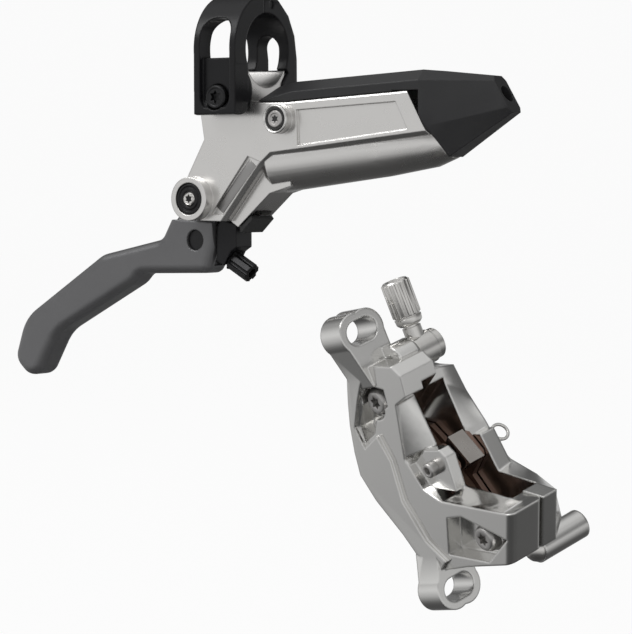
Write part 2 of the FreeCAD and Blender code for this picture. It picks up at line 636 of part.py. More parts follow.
cam.bore("XZ_Plane", "0", knob_start, "-knob_tilt", [
    ("knob_near - 0.3", "0"), ("knob_near - 0.3", "knob_rad + 0.35"), ("knob_far + 2", "knob_rad + 0.35"),
    ("knob_far + 2", "0")])

knob = Piece("reach_knob", knob_place)
knob.add("YZ_Plane", "-1.4", "knob_near", disc("0", "0", "knob_screw_rad"))
knob.add("YZ_Plane", "knob_near", "knob_far", hexagon("0", "0", "knob_rad"))
knob.cut("YZ_Plane", "knob_far - 2", "knob_far", hexagon("0", "0", "knob_rad * 0.5"))

# Master cylinder train, drawn along the tilted bore
rod_near = "(nose_rad - bore_arm * sin(nose_lead) + rod_gap)"
pushrod = Piece("pushrod", axis_place)
pushrod.spin("XZ_Plane", "0", ("0", "0"), "0", [
    (rod_near, "0"), (rod_near, "pushrod_pad_rad"), (f"{rod_near} + 1.4", "pushrod_pad_rad"),
    (f"{rod_near} + 1.4", "pushrod_rad"), ("piston_near", "pushrod_rad"), ("piston_near", "0")])
retainer = Piece("bore_retainer", axis_place)
retainer.spin("XZ_Plane", "0", ("0", "0"), "0", [
    ("piston_near - 1.2", "pushrod_rad + 0.4"), ("piston_near - 1.2", "bore_rad - 0.04"),
    ("piston_near - 0.3", "bore_rad - 0.04"), ("piston_near - 0.3", "pushrod_rad + 0.4")])
grooves = {"secondary_cup": "piston_near + 1.2", "primary_cup": "piston_far - 1 - cup_wide"}
piston = Piece("master_piston", axis_place)
full = "bore_rad - piston_gap"
piston.spin("XZ_Plane", "0", ("0", "0"), "0", [
    ("piston_near", "0"), ("piston_near", full), ("piston_near + 5", full), ("piston_near + 5", "bore_rad - 1.8"),
    ("piston_far - 4.6", "bore_rad - 1.8"), ("piston_far - 4.6", full), ("piston_far", full), ("piston_far", "0")])
for near in grooves.values():
    piston.bore("XZ_Plane", "0", ("0", "0"), "0", [
        (near, "bore_rad - cup_deep"), (near, "bore_rad + 1"), (f"{near} + cup_wide", "bore_rad + 1"),
        (f"{near} + cup_wide", "bore_rad - cup_deep")])
for label, near in grooves.items():
    cup = Piece(label, axis_place)
    cup.spin("XZ_Plane", "0", ("0", "0"), "0", [
        (f"{near} + 0.05", "bore_rad - cup_deep + 0.02"), (f"{near} + 0.05", "bore_rad - 0.03"),
        (f"{near} + cup_wide - 0.05", "bore_rad - 0.03"), (f"{near} + cup_wide - 0.05", "bore_rad - cup_deep + 0.02")])
boot = Piece("lever_boot")
boot.add("XZ_Plane", "-bay_wide / 2 - 0.9", "bay_wide / 2 + 0.9", poly("boot", [
    (1.2, -52.9), (5.2, -49.4), (5.9, -50.3), (1.7, -54.4)]))

spring = Piece("return_spring", axis_place)
coil = spring.sketch("XZ_Plane", "0", [poly("coil", [
    ("piston_far + 0.2", "bore_rad - 1.6"), ("piston_far + 0.2 + spring_wire * 2", "bore_rad - 1.6"),
    ("piston_far + 0.2 + spring_wire * 2", "bore_rad - 1.6 + spring_wire * 2"),
    ("piston_far + 0.2", "bore_rad - 1.6 + spring_wire * 2")])])
winding = spring.body.newObject("PartDesign::AdditiveHelix", "return_spring_winding")
winding.Profile = coil
winding.ReferenceAxis = (coil, ["H_Axis"])
winding.Mode = "height-turns-angle"
winding.setExpression("Height", bound("bore_end - piston_far - 0.4 - spring_wire * 2"))
winding.setExpression("Turns", bound("spring_turns"))

# Caliper, drawn in its own frame: X across the rotor with the plain side negative
cal_place = ("create(<<placement>>; create(<<vector>>; cal_x; cal_y; cal_z);"
             " create(<<rotation>>; cal_yaw; cal_pitch; cal_roll))")
mount_place = (cal_place + " * create(<<placement>>; create(<<vector>>; 0; 0; 0);"
               " create(<<rotation>>; create(<<vector>>; 1; 0; 0); mount_tilt))")
eye = ("(eye_along * cos(mount_tilt) - eye_up * sin(mount_tilt))",
       "(eye_along * sin(mount_tilt) + eye_up * cos(mount_tilt))")
hands = ("outer", "inner")
plate_front = "(rotor_half + pad_travel + lining_thick)"
plate_back = "(rotor_half + pad_travel + lining_thick + plate_thick)"


def span(hand, near, far):
    # Range across the rotor on one side, from distances off its middle plane
    return (f"-({far})", f"-({near})") if hand == "outer" else (near, far)


def pair_of_bores(radius):
    return disc("-piston_half", "0", radius), disc("piston_half", "0", radius)


def both_bolts(radius):
    return disc("-body_bolt_half", "body_bolt_rise", radius), disc("body_bolt_half", "body_bolt_rise", radius)


def hollow_half(half, hand):
    # Pad cavity, rotor slot, piston bores with seal grooves
    half.cut("YZ_Plane", *span(hand, "-0.1", "cavity_half"), poly("cavity", [
        ("-cavity_low", "-30"), ("cavity_up", "-30"), ("cavity_up", "45"), ("-cavity_low", "45")]))
    half.cut("YZ_Plane", *span(hand, "-0.1", "rotor_half + 1"), poly("rotor_slot", [
        ("-45", "-30"), ("45", "-30"), ("45", "rotor_top"), ("-45", "rotor_top")]))
    half.cut("YZ_Plane", *span(hand, "cavity_half - 0.1", "bore_floor"), *pair_of_bores("piston_rad + piston_gap"))
    half.cut("YZ_Plane", *span(hand, "seal_near", "seal_near + seal_wide"),
             *pair_of_bores("piston_rad + seal_deep"))


outer = Piece("caliper_outer_half", cal_place)
end_top = ("-end_reach", "end_rise")
end_low = ("-end_reach - 8", "end_rise - 13.5")
core = outer.add("YZ_Plane", "-rim_face", "0", poly("core", [
    (24.0, 31.0), (7.0, 12.0), (-2.0, 10.4), (-8.0, 13.2), end_top, end_low, (-25.0, 5.0), (-20.0, -5.0), (-11.5, -9.4), (-4.8, -8.8), (7.1, -9.0),
    (15.3, -7.5), (20.5, -2.9), (25.9, 3.1), (30.0, 9.0), (35.0, 17.1), (31.0, 24.0)]))
outer.round("end_round", along(core, [4], 0))
cheek = outer.add("YZ_Plane", "-housing_face", "-rim_face", poly("cheek_face", [
    ("core_x_15", "core_y_15"), ("core_x_14", "core_y_14"), ("core_x_13", "core_y_13"),
    ("core_x_12", "core_y_12"), ("core_x_11", "core_y_11"), ("core_x_10", "core_y_10"),
    ("core_x_9", "core_y_9"), ("core_x_8", "core_y_8"), ("core_x_7", "core_y_7"),
    (-19.6, -0.2), (-11.7, -1.9), (0.5, 0.7), (9.8, 7.8), (17.2, 10.0), (18.2, 2.2), (23.8, 4.6), (27.4, 13.4),
    (29.5, 20.0)]))
outer.round("cheek_round", along(cheek, [0, 1, 2, 3, 4, 5, 6, 7], 0))
outer.loft("YZ_Plane", "-rim_face + slope_step", "-cavity_half + slope_step", poly("near_slope", [
    (23.4, 30.0), (7.6, 12.3), (7.6, 4.0), (23.4, 4.0)]), poly("slope_top", [
        (20.5, 26.0), (4.4, 19.5), (4.4, 4.6), (20.5, 4.6)]))
outer.loft("YZ_Plane", "-rim_face + slope_step", "-cavity_half + slope_step", poly("low_slope", [
    (-8.6, 13.4), (-24.0, 31.8), (-24.0, 14.0), (-8.6, 4.0)]), poly("low_top", [
        (-8.4, 17.9), (-24.0, 33.0), (-24.0, 14.6), (-8.4, 4.6)]))
outer.add("YZ_Plane", "-rim_face", "0", poly("top_block", [
    ("core_x_16", "core_y_16"), (29.5, 26.7), (24.9, 32.9), (21.1, 33.6), (16.6, 29.8), (18.2, 22.0), (25.0, 15.0)]))
outer.add("YZ_Plane", "-cavity_half", "eye_near - washer_thick", disc(*eye, "eye_rad + 0.4"))
ears = (("ear_shift + ear_span / 2", "", "ear_web_up"), ("ear_shift - ear_span / 2", "-", "ear_web_low"))
for middle, way, reach in ears:
    for shift in ("- slot_half", "+ slot_half"):
        outer.add("XY_Plane", "-mount_drop", "-mount_drop + ear_thick",
                  disc(f"-ear_side {shift}", middle, "ear_rad"), lean="mount_tilt")
    outer.add("XY_Plane", "-mount_drop", "-mount_drop + ear_thick", poly("ear_web", [
        ("-ear_side - slot_half - ear_rad + 0.3", middle), ("-ear_side + slot_half + ear_rad - 0.3", middle),
        ("-ear_side + slot_half + ear_rad", f"{middle} - {way}{reach}"),
        ("-ear_side - 3", f"{middle} - {way}{reach}")]), lean="mount_tilt")
outer.cut("YZ_Plane", "-rim_face - 2", "-pocket_floor", poly("pocket_top", [
    (26.6, 14.2), (26.6, 20.9), (23.2, 24.1), (19.6, 20.9), (20.7, 14.3), (18.5, 9.0), (19.4, 2.8), (23.3, 5.4)]),
    poly("pocket_low", [(-12.2, 10.9), (-15.1, 16.4), (-29.1, 25.8), (-28.8, 13.6), (-18.6, 1.5)]))
hollow_half(outer, "outer")
outer.add("YZ_Plane", "-lug_face", "-cavity_half", poly("near_lug", [
    (5.2, 8.0), (5.2, 17.7), (1.7, 23.0), (-1.0, 23.4), (-9.0, 17.9), (-4.0, 12.0), (-3.0, 8.0)]))
outer.cut("YZ_Plane", "-housing_face - 1", "-cavity_half + 1", disc("0", "pad_pin_rise", "pad_pin_rad + pad_pin_gap"))
outer.cut("YZ_Plane", "-rim_face", "1", *both_bolts("body_bolt_rad + hole_gap"))
outer.cut("YZ_Plane", "-housing_face", "-body_bolt_seat", *both_bolts("body_bolt_head + 2 * hole_gap"))
outer.cut("YZ_Plane", "-6", "eye_near", disc(*eye, "banjo_bolt_rad + hole_gap / 3"))
for middle, way, reach in ears:
    for shift in ("- slot_half", "+ slot_half"):
        outer.cut("XY_Plane", "-mount_drop - 1", "-mount_drop + ear_thick + 9",
                  disc(f"-ear_side {shift}", middle, "slot_rad"), lean="mount_tilt")
    outer.cut("XY_Plane", "-mount_drop - 1", "-mount_drop + ear_thick + 9", poly("slot_middle", [
        ("-ear_side - slot_half", f"{middle} - slot_rad"), ("-ear_side + slot_half", f"{middle} - slot_rad"),
        ("-ear_side + slot_half", f"{middle} + slot_rad"), ("-ear_side - slot_half", f"{middle} + slot_rad")]),
              lean="mount_tilt")

inner = Piece("caliper_inner_half", cal_place)
split = poly("split", [
    (20.8, 27.5), (16.8, 24.4), (4.4, 18.2), (-6.0, 15.0), (-11.0, 19.5), (-20.5, 28.8), end_top,
    end_low, (-26.0, 5.0), (-20.0, -5.0), (-10.0, -9.0), (9.0, -9.0), (20.5, -2.9), (28.2, 10.0),
    (28.2, 18.0), (24.0, 21.0)])
inner.add("YZ_Plane", "0", "split_depth", split)
inner.loft("YZ_Plane", "split_depth", "inner_face", split, poly("far_side", [
    (20.4, 24.6), (13.1, 22.0), (3.6, 20.3), (-5.0, 18.0), (-8.5, 18.4), (-16.8, 23.1), (-23.3, 25.3),
    (-29.5, 19.9), (-26.0, 5.0), (-20.0, -5.0), (-10.0, -9.0), (9.0, -9.0), (20.5, -2.9), (28.2, 10.0),
    (28.2, 16.0), (24.0, 20.0)]))
for hand in ("-", ""):
    inner.add("YZ_Plane", "cavity_half", "housing_face", disc(f"{hand}piston_half", "0", "piston_rad + housing_wall"))
inner.add("YZ_Plane", "valve_near", "valve_far", disc("valve_along", "valve_up", "valve_rad"))
hollow_half(inner, "inner")
inner.add("YZ_Plane", "cavity_half", "far_lug_face", poly("far_lug", [
    (2.0, 10.0), (2.0, 20.0), (0.2, 22.5), (-10.0, 18.8), (-8.0, 12.0)]))
inner.cut("YZ_Plane", "cavity_half - 1", "housing_face + 1", disc("0", "pad_pin_rise", "pad_pin_rad + pad_pin_gap"))
inner.cut("YZ_Plane", "0", "inner_face - 1.6", *both_bolts("body_bolt_rad + hole_gap / 3"))
inner.cut("YZ_Plane", "valve_far - 9", "valve_far", disc("valve_along", "valve_up", "plug_rad + hole_gap / 3"))

bolts = Piece("caliper_bolts", cal_place)
bolts.add("YZ_Plane", "-body_bolt_seat", "inner_face - 2", *both_bolts("body_bolt_rad"))
bolts.add("YZ_Plane", "-body_bolt_seat - body_bolt_head_len", "-body_bolt_seat", *both_bolts("body_bolt_head"))
for hand in ("-", ""):
    bolts.cut("YZ_Plane", "-body_bolt_seat - body_bolt_head_len", "-body_bolt_seat - body_bolt_head_len / 3",
              hexagon(f"{hand}body_bolt_half", "body_bolt_rise", "body_bolt_head * 0.62"))

# Pistons, seals and pads on both sides of the rotor
for hand in hands:
    cups = Piece(hand + "_pistons", cal_place)
    cups.add("YZ_Plane", *span(hand, plate_back, "bore_floor - 0.4"), *pair_of_bores("piston_rad"))
    cups.cut("YZ_Plane", *span(hand, plate_back, "bore_floor - 2"), *pair_of_bores("piston_rad * 0.7"))
    seals = Piece(hand + "_piston_seals", cal_place)
    for way in ("-", ""):
        seals.add("YZ_Plane", *span(hand, "seal_near + 0.05", "seal_near + seal_wide - 0.05"),
                  disc(f"{way}piston_half", "0", "piston_rad + seal_deep - 0.02"),
                  disc(f"{way}piston_half", "0", "piston_rad + 0.03"))
    plate = Piece(hand + "_pad_plate", cal_place)
    plate.add("YZ_Plane", *span(hand, plate_front, plate_back), poly("plate", [
        ("-pad_half + 5", "-pad_drop"), ("pad_half - 5", "-pad_drop"), ("pad_half", "-pad_drop + 1.6"),
        ("pad_half", "pad_top - 6"), ("pad_half - 4.6", "pad_top - 1"), ("tab_half + 1", "pad_top"),
        ("tab_half", "tab_top - 1"), ("tab_half - 1", "tab_top"), ("1 - tab_half", "tab_top"),
        ("-tab_half", "tab_top - 1"), ("-tab_half - 1", "pad_top"), ("4.6 - pad_half", "pad_top - 1"),
        ("-pad_half", "pad_top - 6"), ("-pad_half", "-pad_drop + 1.6")]))
    plate.cut("YZ_Plane", *span(hand, plate_front, plate_back), disc("0", "pad_pin_rise", "pad_pin_rad + 0.4"))
    lining = Piece(hand + "_pad_lining", cal_place)
    lining.add("YZ_Plane", *span(hand, "rotor_half + pad_travel", plate_front), poly("lining", [
        ("-pad_half + 6", "-pad_drop + 0.7"), ("pad_half - 6", "-pad_drop + 0.7"), ("pad_half - 1", "-pad_drop + 2.2"),
        ("pad_half - 1", "pad_top - 6.5"), ("pad_half - 5", "pad_top - 2"), ("5 - pad_half", "pad_top - 2"),
        ("1 - pad_half", "pad_top - 6.5"), ("1 - pad_half", "-pad_drop + 2.2")]))

# Pad pin with its clip, and the folded spring that spreads the pads
pin = Piece("pad_pin", cal_place)
pin.add("YZ_Plane", "-lug_face", "far_lug_face + 3.2", disc("0", "pad_pin_rise", "pad_pin_rad"))
pin.add("YZ_Plane", "-lug_face - 1.8", "-lug_face", disc("0", "pad_pin_rise", "pad_pin_rad + 0.9"))
pin.cut("YZ_Plane", "-lug_face - 1.8", "-lug_face - 0.4", hexagon("0", "pad_pin_rise", "pad_pin_rad * 0.8"))
clip = Piece("pad_pin_clip", cal_place)
clip.add("YZ_Plane", "far_lug_face + 1.4", "far_lug_face + 2.2", disc("0", "pad_pin_rise", "2 * pad_pin_rad"),
         disc("0", "pad_pin_rise", "pad_pin_rad + 0.03"))
leaf = Piece("pad_spring", cal_place)
leaf.add("YZ_Plane", "-spring_half", "spring_half", poly("leaf_top", [
    ("-tab_half - 1", "tab_top + 1.4"), ("tab_half", "tab_top + 1"), ("tab_half", "tab_top + 1 + pad_spring_thick"),
    ("-tab_half - 1", "tab_top + 1.4 + pad_spring_thick")]))
for hand in hands:
    leaf.add("YZ_Plane", *span(hand, "spring_half - pad_spring_thick", "spring_half"), poly("leaf_leg", [
        ("-tab_half - 1", "tab_top + 1.6"), ("tab_half", "tab_top + 1.2"), ("tab_half - 1", "pad_top + 1"),
        ("1 - tab_half", "pad_top + 1")]))
leaf.cut("YZ_Plane", "-spring_half", "spring_half", disc("0", "pad_pin_rise", "pad_pin_rad + 0.03"))

# Hose banjo on the upper end, drawn along the line of the two mounting ears
eye_middle = "((eye_near + eye_far) / 2)"
banjo = Piece("banjo_fitting", mount_place)
banjo.add("YZ_Plane", "eye_near", "eye_far", disc("eye_along", "eye_up", "eye_rad"))
banjo.spin("XY_Plane", "eye_up", (eye_middle, "0"), "90", [
    ("eye_along", "0"), ("eye_along", "neck_rad + 0.4"), ("nut_near - 0.6", "neck_rad + 0.4"),
    ("nut_near - 0.6", "neck_rad"), ("nut_near + 4", "neck_rad"), ("nut_near + 4", "0")])
banjo.cut("YZ_Plane", "eye_near", "eye_far", disc("eye_along", "eye_up", "banjo_bolt_rad + 0.4"))
washers = Piece("banjo_seals", mount_place)
for low, high in (("eye_near - washer_thick", "eye_near"), ("eye_far", "eye_far + washer_thick")):
    washers.add("YZ_Plane", low, high, disc("eye_along", "eye_up", "eye_rad - 0.3"),
                disc("eye_along", "eye_up", "banjo_bolt_rad + hole_gap / 3"))
union = Piece("banjo_bolt", mount_place)
union.add("YZ_Plane", "-5.5", "eye_far + washer_thick", disc("eye_along", "eye_up", "banjo_bolt_rad"))
union.add("YZ_Plane", "eye_far + washer_thick", "eye_far + washer_thick + union_head",
          disc("eye_along", "eye_up", "eye_rad - 0.4"))
union.cut("YZ_Plane", "eye_far + washer_thick + 0.4", "eye_far + washer_thick + union_head",
          hexagon("eye_along", "eye_up", "banjo_bolt_rad"))
nut = Piece("hose_nut", mount_place)
nut.spin("XY_Plane", "eye_up", (eye_middle, "0"), "90", [
    ("nut_near", "neck_rad + hole_gap / 3"), ("nut_near", "nut_rad - 0.5"), ("nut_near + 0.8", "nut_rad"),
    ("nut_near + 2.6", "nut_rad"), ("nut_near + 3", "nut_rad - 0.5"), ("nut_far - 0.8", "nut_rad - 0.5"),
    ("nut_far", "nut_rad - 1"), ("nut_far", "port_rad"), ("nut_near + 4.4", "port_rad"),
    ("nut_near + 4.4", "neck_rad + hole_gap / 3")])
plug = Piece("bleed_plug", cal_place)
plug.add("YZ_Plane", "valve_far - 8.5", "valve_far + 0.4", disc("valve_along", "valve_up", "plug_rad"))
plug.cut("YZ_Plane", "valve_far - 1.4", "valve_far + 0.4", hexagon("valve_along", "valve_up", "plug_rad * 0.6"))

doc.recompute()
os.makedirs("parts", exist_ok=True)
broken = [found.Name for found in doc.Objects if "Invalid" in found.State or "Error" in found.State]
if broken:
    raise ValueError("not built: " + ", ".join(broken))
for body in pieces:
    if body.Shape.isNull() or not body.Shape.isValid():
        raise ValueError("not a good solid: " + body.Label)
    body.Shape.exportStep(f"parts/{body.Label}.step")
    print(body.Label, round(body.Shape.Volume, 1), len(body.Shape.Solids))
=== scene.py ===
import bpy
import json
from math import atan2, cos, radians, sin
from mathutils import Euler, Matrix, Vector


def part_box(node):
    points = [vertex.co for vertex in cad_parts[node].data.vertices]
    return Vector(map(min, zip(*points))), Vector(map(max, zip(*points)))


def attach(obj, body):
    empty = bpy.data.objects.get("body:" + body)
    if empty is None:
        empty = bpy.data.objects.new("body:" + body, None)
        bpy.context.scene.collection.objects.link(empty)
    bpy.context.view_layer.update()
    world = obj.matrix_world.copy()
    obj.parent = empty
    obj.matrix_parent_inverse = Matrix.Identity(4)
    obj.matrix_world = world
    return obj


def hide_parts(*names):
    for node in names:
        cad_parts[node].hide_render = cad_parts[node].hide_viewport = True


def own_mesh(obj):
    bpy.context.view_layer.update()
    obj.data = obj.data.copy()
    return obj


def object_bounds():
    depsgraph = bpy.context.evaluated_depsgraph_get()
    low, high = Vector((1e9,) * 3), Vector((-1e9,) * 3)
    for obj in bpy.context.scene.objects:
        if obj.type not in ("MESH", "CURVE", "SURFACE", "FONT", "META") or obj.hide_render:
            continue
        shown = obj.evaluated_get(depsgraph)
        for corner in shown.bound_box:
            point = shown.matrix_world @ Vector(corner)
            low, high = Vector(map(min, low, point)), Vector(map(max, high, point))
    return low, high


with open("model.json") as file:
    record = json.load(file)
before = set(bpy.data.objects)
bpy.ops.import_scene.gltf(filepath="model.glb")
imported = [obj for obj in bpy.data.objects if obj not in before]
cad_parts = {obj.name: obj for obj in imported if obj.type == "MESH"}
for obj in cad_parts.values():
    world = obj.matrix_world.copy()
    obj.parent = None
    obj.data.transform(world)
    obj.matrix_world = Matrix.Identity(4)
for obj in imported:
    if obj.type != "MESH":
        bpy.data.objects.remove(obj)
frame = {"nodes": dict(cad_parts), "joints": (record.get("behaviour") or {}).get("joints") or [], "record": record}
cadBox = [list(corner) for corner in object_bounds()]
nodes = frame["nodes"]
mounts = {mount["name"]: mount for mount in frame["record"]["mounts"]}
joints = {joint["name"]: joint for joint in frame["joints"]}
bpy.ops.object.select_all(action="DESELECT")
print("frame loaded:", len(nodes), "nodes")


# Shared effects
surface = {"cloudDetail": 4, "cloudRough": 0.6, "glossFrom": (0.3, 0.7), "grainDetail": 2,
           "grainDepth": 0.0002, "edgeSamples": 6, "plainShine": 0.5}


def newGroup(name, inputs, outputs):
    group = bpy.data.node_groups.new(name, "ShaderNodeTree")
    for label, kind, start in inputs:
        socket = group.interface.new_socket(label, in_out="INPUT", socket_type=kind)
        if start is not None:
            socket.default_value = start
    for label, kind in outputs:
        group.interface.new_socket(label, in_out="OUTPUT", socket_type=kind)
    start = group.nodes.new("NodeGroupInput")
    end = group.nodes.new("NodeGroupOutput")
    return group, start, end


def makeToneGroup():  # slow cloudy change of tone and gloss over a surface
    inputs = [
        ("Vector", "NodeSocketVector", None),
        ("Light", "NodeSocketColor", None),
        ("Dark", "NodeSocketColor", None),
        ("Size", "NodeSocketFloat", 60.0),
        ("Gloss low", "NodeSocketFloat", 0.2),
        ("Gloss high", "NodeSocketFloat", 0.3),
    ]
    outputs = [("Color", "NodeSocketColor"), ("Roughness", "NodeSocketFloat")]
    group, start, end = newGroup("cloudyTone", inputs, outputs)
    clouds = group.nodes.new("ShaderNodeTexNoise")
    clouds.inputs["Detail"].default_value = surface["cloudDetail"]
    clouds.inputs["Roughness"].default_value = surface["cloudRough"]
    blend = group.nodes.new("ShaderNodeMix")
    blend.data_type = "RGBA"
    gloss = group.nodes.new("ShaderNodeMapRange")
    gloss.inputs["From Min"].default_value = surface["glossFrom"][0]
    gloss.inputs["From Max"].default_value = surface["glossFrom"][1]
    link = group.links.new
    link(start.outputs["Vector"], clouds.inputs["Vector"])
    link(start.outputs["Size"], clouds.inputs["Scale"])
    link(clouds.outputs["Fac"], blend.inputs["Factor"])
    link(start.outputs["Dark"], blend.inputs["A"])
    link(start.outputs["Light"], blend.inputs["B"])
    link(clouds.outputs["Fac"], gloss.inputs["Value"])
    link(start.outputs["Gloss low"], gloss.inputs["To Min"])
    link(start.outputs["Gloss high"], gloss.inputs["To Max"])
    link(blend.outputs["Result"], end.inputs["Color"])
    link(gloss.outputs["Result"], end.inputs["Roughness"])
    return group


def makeGrainGroup():  # fine blasted or moulded grain as a height
    inputs = [("Vector", "NodeSocketVector", None), ("Size", "NodeSocketFloat", 2500.0)]
    group, start, end = newGroup("fineGrain", inputs, [("Height", "NodeSocketFloat")])
    grain = group.nodes.new("ShaderNodeTexNoise")
    grain.inputs["Detail"].default_value = surface["grainDetail"]
    link = group.links.new
    link(start.outputs["Vector"], grain.inputs["Vector"])
    link(start.outputs["Size"], grain.inputs["Scale"])
    link(grain.outputs["Fac"], end.inputs["Height"])
    return group


toneGroup = makeToneGroup()
grainGroup = makeGrainGroup()

finishes = {  # tones, size of clouds, roughness range, metal, size and strength of grain, rounding of edges
    "satinSilver": {
        "light": (0.72, 0.71, 0.695), "dark": (0.66, 0.65, 0.635), "size": 70, "gloss": (0.25, 0.31),
        "metal": 1.0, "grain": 2600, "bump": 0.02, "round": 0.0005},
    "polishedSilver": {
        "light": (0.74, 0.735, 0.72), "dark": (0.66, 0.655, 0.64), "size": 50, "gloss": (0.15, 0.2),
        "metal": 1.0, "grain": 1800, "bump": 0.02, "round": 0.0008},
    "brightSteel": {
        "light": (0.72, 0.71, 0.69), "dark": (0.6, 0.59, 0.57), "size": 120, "gloss": (0.14, 0.24),
        "metal": 1.0, "grain": 2500, "bump": 0.02, "round": 0.0002},
    "blackCover": {
        "light": (0.022, 0.022, 0.023), "dark": (0.014, 0.014, 0.015), "size": 60, "gloss": (0.32, 0.42),
        "metal": 0.0, "grain": 3000, "bump": 0.08, "round": 0.0005, "shine": 0.35},
    "blackClamp": {
        "light": (0.01, 0.01, 0.011), "dark": (0.006, 0.006, 0.007), "size": 60, "gloss": (0.26, 0.36),
        "metal": 0.0, "grain": 3000, "bump": 0.06, "round": 0.0008, "shine": 0.22},
    "bladeGrey": {
        "light": (0.15, 0.15, 0.153), "dark": (0.12, 0.12, 0.123), "size": 40, "gloss": (0.3, 0.38),
        "metal": 0.6, "grain": 2800, "bump": 0.02, "round": 0.0008},
    "blackSteel": {
        "light": (0.025, 0.025, 0.026), "dark": (0.014, 0.014, 0.015), "size": 150, "gloss": (0.24, 0.36),
        "metal": 0.7, "grain": 2500, "bump": 0.04, "round": 0.0002},
    # painted shade: a darker copy of the silver metal, for the shaded facet on the arm
    "stripShadeGrey": {
        "light": (0.34, 0.335, 0.33), "dark": (0.28, 0.275, 0.27), "size": 90, "gloss": (0.3, 0.36),
        "metal": 1.0, "grain": 2600, "bump": 0.02, "round": 0.0002},
    "rubber": {
        "light": (0.022, 0.022, 0.022), "dark": (0.014, 0.014, 0.014), "size": 200, "gloss": (0.6, 0.75),
        "metal": 0.0, "grain": 2000, "bump": 0.15, "round": 0.0003},
    "padLining": {
        "light": (0.15, 0.085, 0.055), "dark": (0.045, 0.03, 0.024), "size": 700, "gloss": (0.8, 0.95),
        "metal": 0.0, "grain": 1200, "bump": 0.4, "round": 0.0001},
    "padPlate": {
        "light": (0.3, 0.2, 0.16), "dark": (0.16, 0.1, 0.08), "size": 260, "gloss": (0.3, 0.45),
        "metal": 0.8, "grain": 2000, "bump": 0.08, "round": 0.0002},
    "boltSilver": {
        "light": (0.5, 0.49, 0.48), "dark": (0.42, 0.41, 0.4), "size": 150, "gloss": (0.36, 0.42),
        "metal": 1.0, "grain": 2500, "bump": 0.02, "round": 0.0001},
    "springSteel": {
        "light": (0.42, 0.4, 0.38), "dark": (0.3, 0.28, 0.26), "size": 180, "gloss": (0.2, 0.3),
        "metal": 1.0, "grain": 2500, "bump": 0.02, "round": 0.0002},
    "pistonGrey": {
        "light": (0.2, 0.19, 0.18), "dark": (0.12, 0.115, 0.11), "size": 150, "gloss": (0.3, 0.4),
        "metal": 0.6, "grain": 2500, "bump": 0.03, "round": 0.0002},
}


def makeFinish(name):
    values = finishes[name]
    material = bpy.data.materials.new(name)
    material.use_nodes = True
    tree = material.node_tree
    shader = tree.nodes["Principled BSDF"]
    place = tree.nodes.new("ShaderNodeTexCoord")
    tone = tree.nodes.new("ShaderNodeGroup")
    tone.node_tree = toneGroup
    tone.inputs["Light"].default_value = (*values["light"], 1)
    tone.inputs["Dark"].default_value = (*values["dark"], 1)
    tone.inputs["Size"].default_value = values["size"]
    tone.inputs["Gloss low"].default_value = values["gloss"][0]
    tone.inputs["Gloss high"].default_value = values["gloss"][1]
    grain = tree.nodes.new("ShaderNodeGroup")
    grain.node_tree = grainGroup
    grain.inputs["Size"].default_value = values["grain"]
    softEdge = tree.nodes.new("ShaderNodeBevel")
    softEdge.samples = surface["edgeSamples"]
    softEdge.inputs["Radius"].default_value = values["round"]
    bump = tree.nodes.new("ShaderNodeBump")
    bump.inputs["Strength"].default_value = values["bump"]
    bump.inputs["Distance"].default_value = surface["grainDepth"]
    link = tree.links.new
    link(place.outputs["Object"], tone.inputs["Vector"])
    link(place.outputs["Object"], grain.inputs["Vector"])
    link(tone.outputs["Color"], shader.inputs["Base Color"])
    link(tone.outputs["Roughness"], shader.inputs["Roughness"])
    link(grain.outputs["Height"], bump.inputs["Height"])
    link(softEdge.outputs["Normal"], bump.inputs["Normal"])
    link(bump.outputs["Normal"], shader.inputs["Normal"])
    shader.inputs["Metallic"].default_value = values["metal"]
    shader.inputs["Specular IOR Level"].default_value = values.get("shine", surface["plainShine"])
    return material


finishOf = {name: makeFinish(name) for name in finishes}

nodeFinish = {  # all other nodes are brightSteel
    "satinSilver": ["lever_body"],
    "polishedSilver": ["caliper_outer_half", "caliper_inner_half"],
    "blackCover": ["reservoir_cover"],
    "blackClamp": ["clamp_front_strap", "clamp_rear_strap", "cam_link"],
    "bladeGrey": ["lever_blade"],
    "blackSteel": ["clamp_bolt", "clamp_hinge_pin", "reach_knob", "reach_barrel", "pivot_bushes",
                   "cover_screws"],
    "rubber": ["lever_boot", "reservoir_bladder", "primary_cup", "secondary_cup", "outer_piston_seals",
               "inner_piston_seals"],
    "padLining": ["outer_pad_lining", "inner_pad_lining"],
    "padPlate": ["outer_pad_plate", "inner_pad_plate"],
    "springSteel": ["pad_spring"],
    "pistonGrey": ["outer_pistons", "inner_pistons", "master_piston"],
}
namedNodes = {node: name for name, group in nodeFinish.items() for node in group}
for node, shown in nodes.items():
    material = finishOf[namedNodes.get(node, "brightSteel")]
    for number in range(len(shown.material_slots)):
        shown.material_slots[number].material = material
print("finishes set:", len(finishOf))


# Tools for the modelled pieces
modelling = {"smoothAngle": 35, "sharpAngle": 30, "edgeSteps": 2, "turnedSides": 48, "rodSides": 64,
             "roundSteps": 8, "seamGap": 0.000001}
plain = Matrix.Identity(4)  # for pieces already modelled in place
caliper = {"place": (0.09035, -0.03844, -0.12143), "turn": (50.94, -19.3, 71.81)}
caliperTurn = Euler([radians(turn) for turn in caliper["turn"]]).to_matrix().to_4x4()
caliperSpace = Matrix.Translation(caliper["place"]) @ caliperTurn


def selectOnly(piece):
    bpy.ops.object.select_all(action="DESELECT")
    piece.select_set(True)
    bpy.context.view_layer.objects.active = piece


def startPiece(name):  # names the piece that was just added
    piece = bpy.context.object
    piece.name = name
    return piece


def applyPlace():
    bpy.ops.object.transform_apply(location=True, rotation=True, scale=True)


